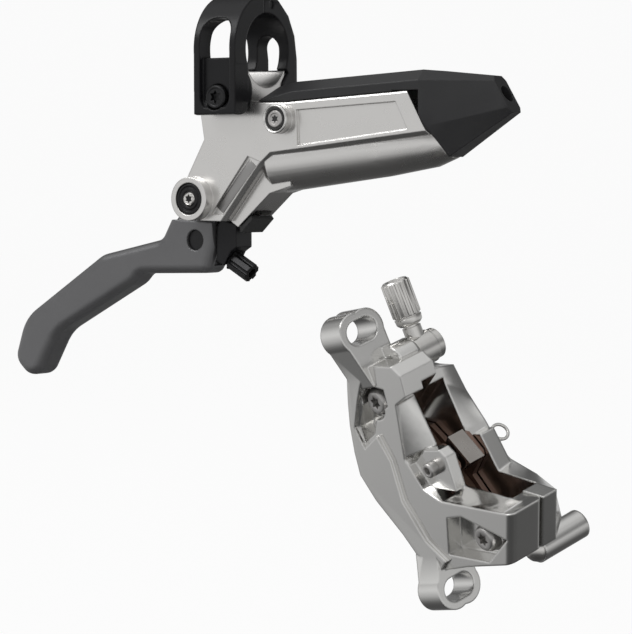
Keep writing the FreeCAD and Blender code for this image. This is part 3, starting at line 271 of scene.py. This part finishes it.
def turnedPiece(name, steps, sides=modelling["turnedSides"]):  # round along Z, as pairs of height and radius
    bpy.ops.object.select_all(action="DESELECT")
    height, radius = steps[0]
    bpy.ops.mesh.primitive_circle_add(vertices=sides, radius=radius, fill_type="NGON",
                                      location=(0, 0, height))
    applyPlace()
    piece = startPiece(name)
    bpy.ops.object.mode_set(mode="EDIT")
    bpy.ops.mesh.select_all(action="SELECT")
    for nextHeight, nextRadius in steps[1:]:
        bpy.ops.mesh.extrude_region_move(TRANSFORM_OT_translate={"value": (0, 0, nextHeight - height)})
        share = nextRadius / radius
        bpy.ops.transform.resize(value=(share, share, 1), center_override=(0, 0, nextHeight))
        height, radius = nextHeight, nextRadius
    bpy.ops.mesh.select_all(action="SELECT")
    bpy.ops.mesh.normals_make_consistent(inside=False)
    bpy.ops.object.mode_set(mode="OBJECT")
    return piece


def smoothPiece(piece):
    selectOnly(piece)
    bpy.ops.object.shade_smooth_by_angle(angle=radians(modelling["smoothAngle"]))


def softenEdges(piece, width):
    bpy.context.view_layer.objects.active = piece
    edge = piece.modifiers.new("softEdge", "BEVEL")
    edge.width = width
    edge.segments = modelling["edgeSteps"]
    edge.limit_method = "ANGLE"
    edge.angle_limit = radians(modelling["sharpAngle"])
    bpy.ops.object.modifier_apply(modifier=edge.name)
    smoothPiece(piece)


def calmFaces(piece):  # broad faces shade flat, the turn of light stays in the rounded edges
    selectOnly(piece)
    calm = piece.modifiers.new("calmFaces", "WEIGHTED_NORMAL")
    calm.keep_sharp = True
    bpy.ops.object.modifier_apply(modifier=calm.name)


def cutAway(piece, cutter, kind="DIFFERENCE"):
    bpy.context.view_layer.objects.active = piece
    cut = piece.modifiers.new("cut", "BOOLEAN")
    cut.operation = kind
    cut.object = cutter
    cut.solver = "EXACT"
    bpy.ops.object.modifier_apply(modifier=cut.name)
    bpy.data.objects.remove(cutter)


def addOn(piece, other):
    cutAway(piece, other, "UNION")


def block(low, high):  # a box from its two corners
    bpy.ops.object.select_all(action="DESELECT")
    middle = [(a + b) / 2 for a, b in zip(low, high)]
    bpy.ops.mesh.primitive_cube_add(size=1, location=middle, scale=[b - a for a, b in zip(low, high)])
    applyPlace()
    return bpy.context.object


def rod(middle, radius, length, axis, sides=modelling["rodSides"]):  # a round bar along an axis
    bpy.ops.object.select_all(action="DESELECT")
    bpy.ops.mesh.primitive_cylinder_add(vertices=sides, radius=radius, depth=length, location=middle,
                                        rotation=Vector(axis).to_track_quat("Z", "Y").to_euler())
    applyPlace()
    return bpy.context.object


def roundEdges(piece, chosen, width):  # rounds the edges whose two ends are chosen
    bpy.context.view_layer.objects.active = piece
    bpy.ops.object.mode_set(mode="EDIT")
    bpy.ops.mesh.select_mode(type="EDGE")
    bpy.ops.mesh.select_all(action="DESELECT")
    bpy.ops.object.mode_set(mode="OBJECT")
    for edge in piece.data.edges:
        edge.select = all(chosen(piece.data.vertices[number].co) for number in edge.vertices)
    bpy.ops.object.mode_set(mode="EDIT")
    bpy.ops.mesh.bevel(offset=width, segments=modelling["roundSteps"])
    bpy.ops.object.mode_set(mode="OBJECT")


def cutStar(piece, radius, low, high):  # six pointed socket, as two three sided cuts
    for turn in (0, 60):
        bpy.ops.mesh.primitive_cylinder_add(
            vertices=3, radius=radius, depth=high - low, location=(0, 0, (low + high) / 2),
            rotation=(0, 0, radians(turn)))
        cutAway(piece, bpy.context.object)


def finishPiece(piece, space, body, finish, *replaced):
    piece.data.transform(space)
    piece.data.materials.clear()
    piece.data.materials.append(finishOf[finish])
    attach(piece, body)
    if replaced:
        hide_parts(*replaced)
    return piece


def joinPieces(first, others):
    selectOnly(first)
    for piece in others:
        piece.select_set(True)
    bpy.ops.object.join()


def axisSpace(place, axis):  # turns Z to an axis and moves to a place
    return Matrix.Translation(place) @ Vector(axis).to_track_quat("Z", "Y").to_matrix().to_4x4()


def turnedCopies(first, turns):  # copies of a piece, each turned about Z
    copies = []
    for turn in turns:
        selectOnly(first)
        bpy.ops.object.duplicate()
        bpy.ops.object.mode_set(mode="EDIT")
        bpy.ops.mesh.select_all(action="SELECT")
        bpy.ops.transform.rotate(value=radians(turn), orient_axis="Z", center_override=(0, 0, 0))
        bpy.ops.object.mode_set(mode="OBJECT")
        copies.append(bpy.context.object)
    return copies


def mergedCopy(node, name):  # a copy of a CAD piece, closed along its seams
    piece = bpy.data.objects.new(name, nodes[node].data.copy())
    bpy.context.scene.collection.objects.link(piece)
    selectOnly(piece)
    bpy.ops.object.mode_set(mode="EDIT")
    bpy.ops.mesh.select_all(action="SELECT")
    bpy.ops.mesh.remove_doubles(threshold=modelling["seamGap"])
    bpy.ops.mesh.customdata_custom_splitnormals_clear()
    bpy.ops.object.mode_set(mode="OBJECT")
    return piece


# Lever and caliper bodies
softParts = {
    "caliper_outer_half": ("outerShell", "frame"),
    "caliper_inner_half": ("innerShell", "frame"),
    "lever_body": ("leverShell", "frame"),
    "reservoir_cover": ("coverShell", "frame"),
    "clamp_rear_strap": ("rearStrap", "frame"),
    "lever_blade": ("bladeShell", "blade"),
}
softening = {"width": 0.0005, "flatAngle": 1}


def makeSoftParts():  # castings and mouldings with rounded edges
    for node, (name, body) in softParts.items():
        piece = mergedCopy(node, name)
        bpy.ops.object.mode_set(mode="EDIT")
        bpy.ops.mesh.select_all(action="SELECT")
        bpy.ops.mesh.dissolve_limited(angle_limit=radians(softening["flatAngle"]))
        bpy.ops.object.mode_set(mode="OBJECT")
        softenEdges(piece, softening["width"])
        calmFaces(piece)
        finishPiece(piece, plain, body, namedNodes[node], node)


def makeSpring():  # return spring, smooth shaded, with a mesh of its own
    piece = mergedCopy("return_spring", "coilSpring")
    smoothPiece(piece)
    finishPiece(piece, plain, "frame", "brightSteel", "return_spring")
    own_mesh(piece)


# Hose nut, screws and rings
sleeve = {
    "profile": [(-0.0086, 0.0029), (-0.0079, 0.0036), (-0.0064, 0.0038), (-0.0064, 0.0034), (-0.006, 0.0034),
                (-0.006, 0.0037), (0.0035, 0.0037), (0.004, 0.0033), (0.004, 0.0026), (-0.002, 0.0026)],
    "sides": 64, "edge": 0.0001, "ribs": 16, "ribAt": 0.0037, "ribLow": -0.0058, "ribTop": 0.0035,
    "ribWide": 0.00075, "ribHigh": 0.0003, "ribEdge": 0.00021}


def makeHoseSleeve():  # fluted nut that grips the hose
    piece = turnedPiece("hoseSleeve", sleeve["profile"], sleeve["sides"])
    middle, high, halfWide = sleeve["ribAt"], sleeve["ribHigh"], sleeve["ribWide"] / 2
    block((middle - high, -halfWide, sleeve["ribLow"]), (middle + high, halfWide, sleeve["ribTop"]))
    rib = startPiece("sleeveRib")
    softenEdges(rib, sleeve["ribEdge"])
    step = 360 / sleeve["ribs"]
    ribs = turnedCopies(rib, [step * number for number in range(1, sleeve["ribs"])])
    softenEdges(piece, sleeve["edge"])
    joinPieces(piece, [rib, *ribs])
    inlet = mounts["caliper_hose_inlet"]
    finishPiece(piece, axisSpace(inlet["pos_m"], inlet["axis"]), "frame", "brightSteel", "hose_nut")


starBolts = {
    "pivotScrew": {"node": "pivot_pin", "radius": 0.0021, "lift": 0.0008, "deep": 0.001, "socket": 0.0014,
                   "shank": 0.0025, "finish": "brightSteel"},
    "bleedStar": {"node": "bleed_screw", "radius": 0.0027, "lift": 0.0005, "deep": 0.0007,
                  "socket": 0.0013, "shank": 0.002, "finish": "boltSilver"},
    "clampStar": {"node": "clamp_bolt", "radius": 0.0036, "lift": 0.0, "deep": 0.0034, "socket": 0.0021,
                  "shank": 0.0025, "finish": "blackSteel"},
}
starHead = {"slope": 0.0004, "dish": 0.0002, "dishOut": 1.3, "dishIn": 1.2, "starLow": -0.0016,
            "starTop": 0.001, "edge": 0.00008}


def nearFace(low, high, lift):  # middle of a box's near side, raised by the lift
    return Vector(((low.x + high.x) / 2, low.y - lift, (low.z + high.z) / 2))


def makeStarBolts():  # heads on the near face, each with its shank behind
    slope = starHead["slope"]
    for name, bolt in starBolts.items():
        low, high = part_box(bolt["node"])
        radius, deep, shank, socket = bolt["radius"], bolt["deep"], bolt["shank"], bolt["socket"]
        length = high.y - low.y + bolt["lift"]
        piece = turnedPiece(name, [
            (-length, shank), (-deep, shank), (-deep, radius), (-slope, radius), (0, radius - slope),
            (0, socket * starHead["dishOut"]), (-starHead["dish"], socket * starHead["dishIn"])])
        cutStar(piece, socket, starHead["starLow"], starHead["starTop"])
        softenEdges(piece, starHead["edge"])
        place = axisSpace(nearFace(low, high, bolt["lift"]), (0, -1, 0))
        finishPiece(piece, place, "frame", bolt["finish"], bolt["node"])


rings = {
    "pivotFace": 0.0124, "sides": 64, "washerEdge": 0.00006, "rimEdge": 0.00008,
    "washer": [(-0.0004, 0.0046), (0.0002, 0.0046), (0.0004, 0.0044), (0.0004, 0.0039), (0.0001, 0.0037),
               (0.0001, 0.0033), (0.0005, 0.0031), (0.0005, 0.0025), (0.0002, 0.0022)],
    "rim": [(-0.0006, 0.0043), (0.0004, 0.0043), (0.0007, 0.0041), (0.0007, 0.0038), (0.0005, 0.0036),
            (0.0001, 0.0034), (0.0001, 0.002)],
    # the last profile is a black ring that paints the shaded gap round the bleed screw
    "seal": [(-0.0002, 0.0034), (0.0004, 0.0033), (0.0004, 0.0028), (0.0002, 0.0027)]}


def makeRings():  # stepped washers at the pivot, raised rim round the bleed screw, and a black ring as painted shade of the gap round the screw
    pivot = Vector(joints["lever_pull"]["pos_m"])
    for side in (-1, 1):
        piece = turnedPiece("pivotWasher", rings["washer"], rings["sides"])
        softenEdges(piece, rings["washerEdge"])
        place = pivot + Vector((0, side * rings["pivotFace"], 0))
        finishPiece(piece, axisSpace(place, (0, side, 0)), "frame", "blackSteel")
    low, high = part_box("bleed_screw")
    bleedFace = axisSpace(nearFace(low, high, 0), (0, -1, 0))
    rim = turnedPiece("bleedRim", rings["rim"], rings["sides"])
    softenEdges(rim, rings["rimEdge"])
    finishPiece(rim, bleedFace, "frame", "polishedSilver")
    # painted shade: a black rubber ring put where the gap round the bleed screw is in shade
    seal = turnedPiece("bleedGapShade", rings["seal"])
    smoothPiece(seal)
    finishPiece(seal, bleedFace, "frame", "rubber")


caliperBolts = {
    "along": 0.0235, "rise": 0.0165, "seat": -0.0064, "head": 0.0046, "radius": 0.0043, "shank": 0.003,
    "length": 0.0159, "socket": 0.002, "starLow": -0.002, "starTop": 0.001, "edge": 0.0001,
    # shares of the head's height and radius
    "dome": [(1, 1), (0.72, 1), (0.68, 0.93), (0.3, 0.88), (0.12, 0.8), (0, 0.68)]}


def makeCaliperBolts():  # domed heads with a washer edge
    values = caliperBolts
    head, radius, shank = values["head"], values["radius"], values["shank"]
    steps = [(-head - values["length"], shank), (-head, shank)]
    steps += [(-head * high, radius * wide) for high, wide in values["dome"]]
    first = turnedPiece("caliperBolt", steps)
    cutStar(first, values["socket"], values["starLow"], values["starTop"])
    softenEdges(first, values["edge"])
    first.data.transform(axisSpace((values["seat"] - head, values["along"], values["rise"]), (-1, 0, 0)))
    selectOnly(first)
    bpy.ops.object.duplicate()
    second = bpy.context.object
    second.data.transform(Matrix.Translation((0, -2 * values["along"], 0)))
    joinPieces(first, [second])
    finishPiece(first, caliperSpace, "frame", "boltSilver", "caliper_bolts")


# Knob, clamp and trim
knob = {"near": 0.0125, "far": 0.0215, "grooves": 6, "groove": 0.00075, "grooveSides": 16, "reach": 0.0031}


def makeKnob():  # the reach knob with a groove along each side
    piece = mergedCopy("reach_knob", "notchedKnob")
    turning = joints["knob_spin"]
    along = Vector(turning["axis"])
    start = Vector(turning["pos_m"]) + along * (knob["near"] + knob["far"]) / 2
    for number in range(knob["grooves"]):
        turn = radians(360 / knob["grooves"] * number)
        outward = Matrix.Rotation(turn, 3, along) @ Vector((0, 1, 0))
        middle = start + outward * knob["reach"]
        cutAway(piece, rod(middle, knob["groove"], knob["far"] - knob["near"], along, knob["grooveSides"]))
    smoothPiece(piece)
    finishPiece(piece, plain, "knob", "blackSteel", "reach_knob")


strap = {
    "half": 0.0075, "outer": 0.0167, "bar": 0.0111, "seam": -0.0017, "front": -0.0167, "ringLow": -0.0045,
    "lug": (-0.0146, -0.0125), "lugRadius": 0.00695, "legBack": -0.0098, "legTop": -0.0003,
    "window": (0.0055, -0.0026, 0.0092), "windowTop": 0.0046, "windowBack": -0.004,
    "pocket": (0.0055, -0.0148, -0.0184), "pocketFoot": 0.0045, "pocketLap": 0.001,
    "boltDrop": -0.0142, "boltSeat": -0.013, "boltRadius": 0.0039, "boltDeep": 0.01,
    "hinge": (0.0024, 0.0137), "eye": 0.0025, "eyeShare": 0.98, "tongue": 0.0033, "tongueLap": 0.002,
    "pin": 0.00115, "ringSides": 96, "eyeSides": 48, "pinSides": 32,
    "step": 0.00004, "close": 0.0001, "wide": 0.02, "far": 0.03}  # wide and far are the reach of the cuts


def makeFrontStrap():  # round clamp half with a tall window, a lug and a pocket for the bolt
    half, front, step, close = strap["half"], strap["front"], strap["step"], strap["close"]
    wide, far = strap["wide"], strap["far"]
    lugY, lugZ = strap["lug"]
    along = (1, 0, 0)
    middle = (0, 0, 0)
    rod(middle, strap["outer"], 2 * half, along, strap["ringSides"])
    piece = startPiece("frontStrap")
    cutAway(piece, block((-wide, -far, -far), (wide, far, strap["ringLow"])))
    legHalf = half - step  # each part is a step narrower, so that no two faces lie in one plane
    addOn(piece, block((-legHalf, front + step, lugZ), (legHalf, strap["legBack"], strap["legTop"])))
    lug = rod((0, lugY, lugZ), strap["lugRadius"], 2 * (legHalf - step), along)
    cutAway(lug, block((-wide, -far, -far), (wide, front + 2 * step, far)))
    addOn(piece, lug)
    cutAway(piece, block((-wide, strap["seam"], -far), (wide, far, far)))
    cutAway(piece, rod(middle, strap["bar"], far, along, strap["ringSides"]))
    windowWide, low, high = strap["window"]
    window = block((-windowWide, -far, low), (windowWide, strap["windowBack"], high))
    roundEdges(window, lambda corner: corner.z > high - close, strap["windowTop"])
    cutAway(piece, window)
    pocketWide, floor, foot = strap["pocket"]
    pocketHalf = pocketWide - step
    pocket = block((-pocketHalf, -far, foot), (pocketHalf, floor, low + strap["pocketLap"]))
    roundEdges(pocket, lambda corner: corner.z < foot + close, strap["pocketFoot"])
    cutAway(piece, pocket)
    boltMiddle = (0, strap["boltSeat"] - strap["boltDeep"] / 2, strap["boltDrop"])
    cutAway(piece, rod(boltMiddle, strap["boltRadius"], strap["boltDeep"], (0, 1, 0), strap["eyeSides"]))
    smoothPiece(piece)
    joinPieces(piece, [makeTongue(along)])
    finishPiece(piece, plain, "frame", "blackClamp", "clamp_front_strap")


def makeTongue(along):  # eye of the strap between the hinge's two cheeks
    hingeY, hingeZ = strap["hinge"]
    hinge = (0, hingeY, hingeZ)
    tongueHalf = strap["tongue"]
    flat = strap["eye"] * strap["eyeShare"]
    tongue = rod(hinge, strap["eye"], 2 * tongueHalf, along, strap["eyeSides"])
    addOn(tongue, block((-tongueHalf, strap["seam"] - strap["tongueLap"], hingeZ - flat),
                        (tongueHalf, hingeY, hingeZ + flat)))
    cutAway(tongue, rod(hinge, strap["pin"], strap["wide"], along, strap["pinSides"]))
    smoothPiece(tongue)
    return tongue


armShadeStrip = {"middle": (0.0023, -0.0406), "long": 0.0186, "wide": 0.0031, "thick": 0.0003, "depth": 0.0087,
            "lean": (0.0134, 0.0157), "edge": 0.0001}


def makeArmStrips():  # darker grey strip on both faces of the arm, painted shade standing in for the shaded facet there
    lean = atan2(armShadeStrip["lean"][1], armShadeStrip["lean"][0])
    for side in (-1, 1):
        bpy.ops.object.select_all(action="DESELECT")
        bpy.ops.mesh.primitive_cube_add(
            size=1, location=(armShadeStrip["middle"][0], side * armShadeStrip["depth"], armShadeStrip["middle"][1]),
            rotation=(0, -lean, 0), scale=(armShadeStrip["long"], armShadeStrip["thick"], armShadeStrip["wide"]))
        applyPlace()
        piece = startPiece("armShadeStrip")
        softenEdges(piece, armShadeStrip["edge"])
        finishPiece(piece, plain, "frame", "stripShadeGrey")


valve = {"along": -0.0315, "rise": 0.0115, "near": 0.0047, "radius": 0.0036, "high": 0.0032, "foot": -0.001,
         "turns": (0, 18, 36, 54, 70, 82)}


def makeValveCap():  # bright domed end of the bleed port
    steps = [(valve["foot"], valve["radius"])]
    for turn in valve["turns"]:
        steps.append((valve["high"] * sin(radians(turn)), valve["radius"] * cos(radians(turn))))
    piece = turnedPiece("valveCap", steps)
    smoothPiece(piece)
    place = axisSpace((valve["near"], valve["along"], valve["rise"]), (-1, 0, 0))
    finishPiece(piece, caliperSpace @ place, "frame", "brightSteel")


# Pad pin and its clip
padPin = {"rise": 0.0166, "near": -0.0116, "far": 0.0136, "radius": 0.0015, "head": 0.0021,
          "headLong": 0.0026, "slope": 0.0004, "socket": 0.0012, "socketSides": 6, "deep": 0.0016,
          "edge": 0.00008}


def makePadPin():  # pin across the pads, with a round head and a hex socket
    radius, head, slope = padPin["radius"], padPin["head"], padPin["slope"]
    foot = padPin["near"] - padPin["far"]
    seat = -padPin["headLong"]
    piece = turnedPiece("padPin", [(foot, radius - slope), (foot + slope, radius), (seat, radius),
                                   (seat, head), (-slope, head), (0, head - slope)])
    cutAway(piece, rod((0, 0, 0), padPin["socket"], 2 * padPin["deep"], (0, 0, 1), padPin["socketSides"]))
    softenEdges(piece, padPin["edge"])
    place = axisSpace((padPin["near"], 0, padPin["rise"]), (-1, 0, 0))
    finishPiece(piece, caliperSpace @ place, "frame", "boltSilver", "pad_pin")


pinClip = {"loop": 0.0157, "radius": 0.0023, "wire": 0.00045, "legs": (0.0118, 0.0144), "apart": 0.002,
           "loopSides": 40, "wireSides": 10, "legSides": 12}


def makePinClip():  # sprung wire loop at the far end of the pad pin
    bpy.ops.object.select_all(action="DESELECT")
    bpy.ops.mesh.primitive_torus_add(
        major_radius=pinClip["radius"], minor_radius=pinClip["wire"], major_segments=pinClip["loopSides"],
        minor_segments=pinClip["wireSides"], location=(pinClip["loop"], 0, padPin["rise"]))
    applyPlace()
    piece = startPiece("pinClip")
    start, end = pinClip["legs"]
    for side in (-1, 1):
        middle = ((start + end) / 2, side * pinClip["apart"], padPin["rise"])
        addOn(piece, rod(middle, pinClip["wire"], end - start, (1, 0, 0), pinClip["legSides"]))
    smoothPiece(piece)
    finishPiece(piece, caliperSpace, "frame", "brightSteel", "pad_pin_clip")


makeSoftParts()
makeSpring()
makeHoseSleeve()
makeStarBolts()
makeRings()
makeCaliperBolts()
makeKnob()
makeFrontStrap()
makeArmStrips()
makeValveCap()
makePadPin()
makePinClip()
print("modelled pieces ready")


# Studio: pale floor, soft lights, and a toned room that metal can mirror
studio = {
    "floorDrop": 0.06, "floorSize": 8.0, "floorTone": 0.8, "floorRough": 0.9, "floorGlow": 0.95,
    "floorSeen": 0.985, "backTone": 0.96, "turnFrom": -0.2, "turnTo": 0.5,
    "front": [(0.0, 0.06), (0.13, 0.1), (0.28, 0.52), (0.45, 0.8), (0.54, 0.74), (0.68, 0.45), (0.84, 1.0),
              (1.0, 0.8)],
    "back": [(0.0, 0.06), (0.25, 0.1), (0.44, 0.5), (0.54, 0.6), (0.64, 0.18), (0.78, 0.1), (0.92, 0.4),
             (1.0, 0.8)],
    "lamps": [("keyLight", (-0.5, -0.7, 0.8), 0.7, 5.0), ("fillLight", (0.95, -0.35, 0.25), 0.5, 1.5),
              ("rimLight", (-0.7, 0.5, 1.0), 0.8, 2.0)],
    "lampShape": 0.7}


def grey(tone):
    return tone, tone, tone, 1


def makeFloor():  # nearly white to the eye, and still takes the object's shadow
    low = cadBox[0][2] - studio["floorDrop"]
    bpy.ops.mesh.primitive_plane_add(size=studio["floorSize"], location=(0, 0, low))
    floor = startPiece("floor")
    material = bpy.data.materials.new("paleFloor")
    material.use_nodes = True
    tree = material.node_tree
    shader = tree.nodes["Principled BSDF"]
    shader.inputs["Base Color"].default_value = grey(studio["floorTone"])
    shader.inputs["Roughness"].default_value = studio["floorRough"]
    glow = tree.nodes.new("ShaderNodeEmission")
    glow.inputs["Color"].default_value = grey(studio["floorSeen"])
    path = tree.nodes.new("ShaderNodeLightPath")
    share = tree.nodes.new("ShaderNodeMath")
    share.operation = "MULTIPLY"
    share.inputs[1].default_value = studio["floorGlow"]
    mix = tree.nodes.new("ShaderNodeMixShader")
    link = tree.links.new
    link(path.outputs["Is Camera Ray"], share.inputs[0])
    link(share.outputs["Value"], mix.inputs["Fac"])
    link(shader.outputs["BSDF"], mix.inputs[1])
    link(glow.outputs["Emission"], mix.inputs[2])
    link(mix.outputs["Shader"], tree.nodes["Material Output"].inputs["Surface"])
    floor.data.materials.append(material)
    floor.visible_glossy = False  # metal mirrors the room below the floor, dark underneath


def makeRamp(tree, steps):  # tones from straight down to straight up
    ramp = tree.nodes.new("ShaderNodeValToRGB")
    elements = ramp.color_ramp.elements
    for number, (position, tone) in enumerate(steps):
        element = elements[number] if number < 2 else elements.new(position)
        element.position = position
        element.color = grey(tone)
    return ramp


def makeRoom():  # plain white to the eye, toned in front and at the back for what metal mirrors
    world = bpy.data.worlds.new("brightRoom")
    bpy.context.scene.world = world
    world.use_nodes = True
    tree = world.node_tree
    tree.nodes.clear()
    out = tree.nodes.new("ShaderNodeOutputWorld")
    mix = tree.nodes.new("ShaderNodeMixShader")
    seen = tree.nodes.new("ShaderNodeBackground")
    seen.inputs["Color"].default_value = grey(studio["backTone"])
    room = tree.nodes.new("ShaderNodeBackground")
    path = tree.nodes.new("ShaderNodeLightPath")
    where = tree.nodes.new("ShaderNodeTexCoord")
    split = tree.nodes.new("ShaderNodeSeparateXYZ")
    spread = tree.nodes.new("ShaderNodeMapRange")
    spread.inputs["From Min"].default_value = -1
    turn = tree.nodes.new("ShaderNodeMapRange")
    turn.interpolation_type = "SMOOTHSTEP"
    turn.inputs["From Min"].default_value = studio["turnFrom"]
    turn.inputs["From Max"].default_value = studio["turnTo"]
    sides = tree.nodes.new("ShaderNodeMix")
    sides.data_type = "RGBA"
    link = tree.links.new
    link(where.outputs["Generated"], split.inputs["Vector"])
    link(split.outputs["Z"], spread.inputs["Value"])
    link(split.outputs["Y"], turn.inputs["Value"])
    link(turn.outputs["Result"], sides.inputs["Factor"])
    for side, socket in (("front", "A"), ("back", "B")):
        ramp = makeRamp(tree, studio[side])
        link(spread.outputs["Result"], ramp.inputs["Fac"])
        link(ramp.outputs["Color"], sides.inputs[socket])
    link(sides.outputs["Result"], room.inputs["Color"])
    link(path.outputs["Is Camera Ray"], mix.inputs["Fac"])
    link(room.outputs["Background"], mix.inputs[1])
    link(seen.outputs["Background"], mix.inputs[2])
    link(mix.outputs["Shader"], out.inputs["Surface"])


def makeLamps():
    middle = (Vector(cadBox[0]) + Vector(cadBox[1])) / 2
    for name, place, size, power in studio["lamps"]:
        data = bpy.data.lights.new(name, "AREA")
        data.shape = "RECTANGLE"
        data.size = size
        data.size_y = size * studio["lampShape"]
        data.energy = power
        lamp = bpy.data.objects.new(name, data)
        bpy.context.scene.collection.objects.link(lamp)
        lamp.location = middle + Vector(place)
        lamp.visible_glossy = name == "keyLight"  # only the key light shows in the metal
        lamp.rotation_euler = (middle - lamp.location).to_track_quat("-Z", "Y").to_euler()


view = {"place": (0.4551, -0.6377, -0.0389), "look": (-0.5584, 0.8279, -0.0523), "lens": 148.1, "sensor": 36}


def makeCamera():
    data = bpy.data.cameras.new("photoView")
    data.sensor_fit = "HORIZONTAL"
    data.sensor_width = view["sensor"]
    data.lens = view["lens"]
    camera = bpy.data.objects.new("photoView", data)
    bpy.context.scene.collection.objects.link(camera)
    camera.location = view["place"]
    camera.rotation_euler = Vector(view["look"]).to_track_quat("-Z", "Y").to_euler()
    bpy.context.scene.camera = camera


makeFloor()
makeRoom()
makeLamps()
makeCamera()
bpy.context.scene.view_settings.view_transform = "Standard"
print("studio ready")
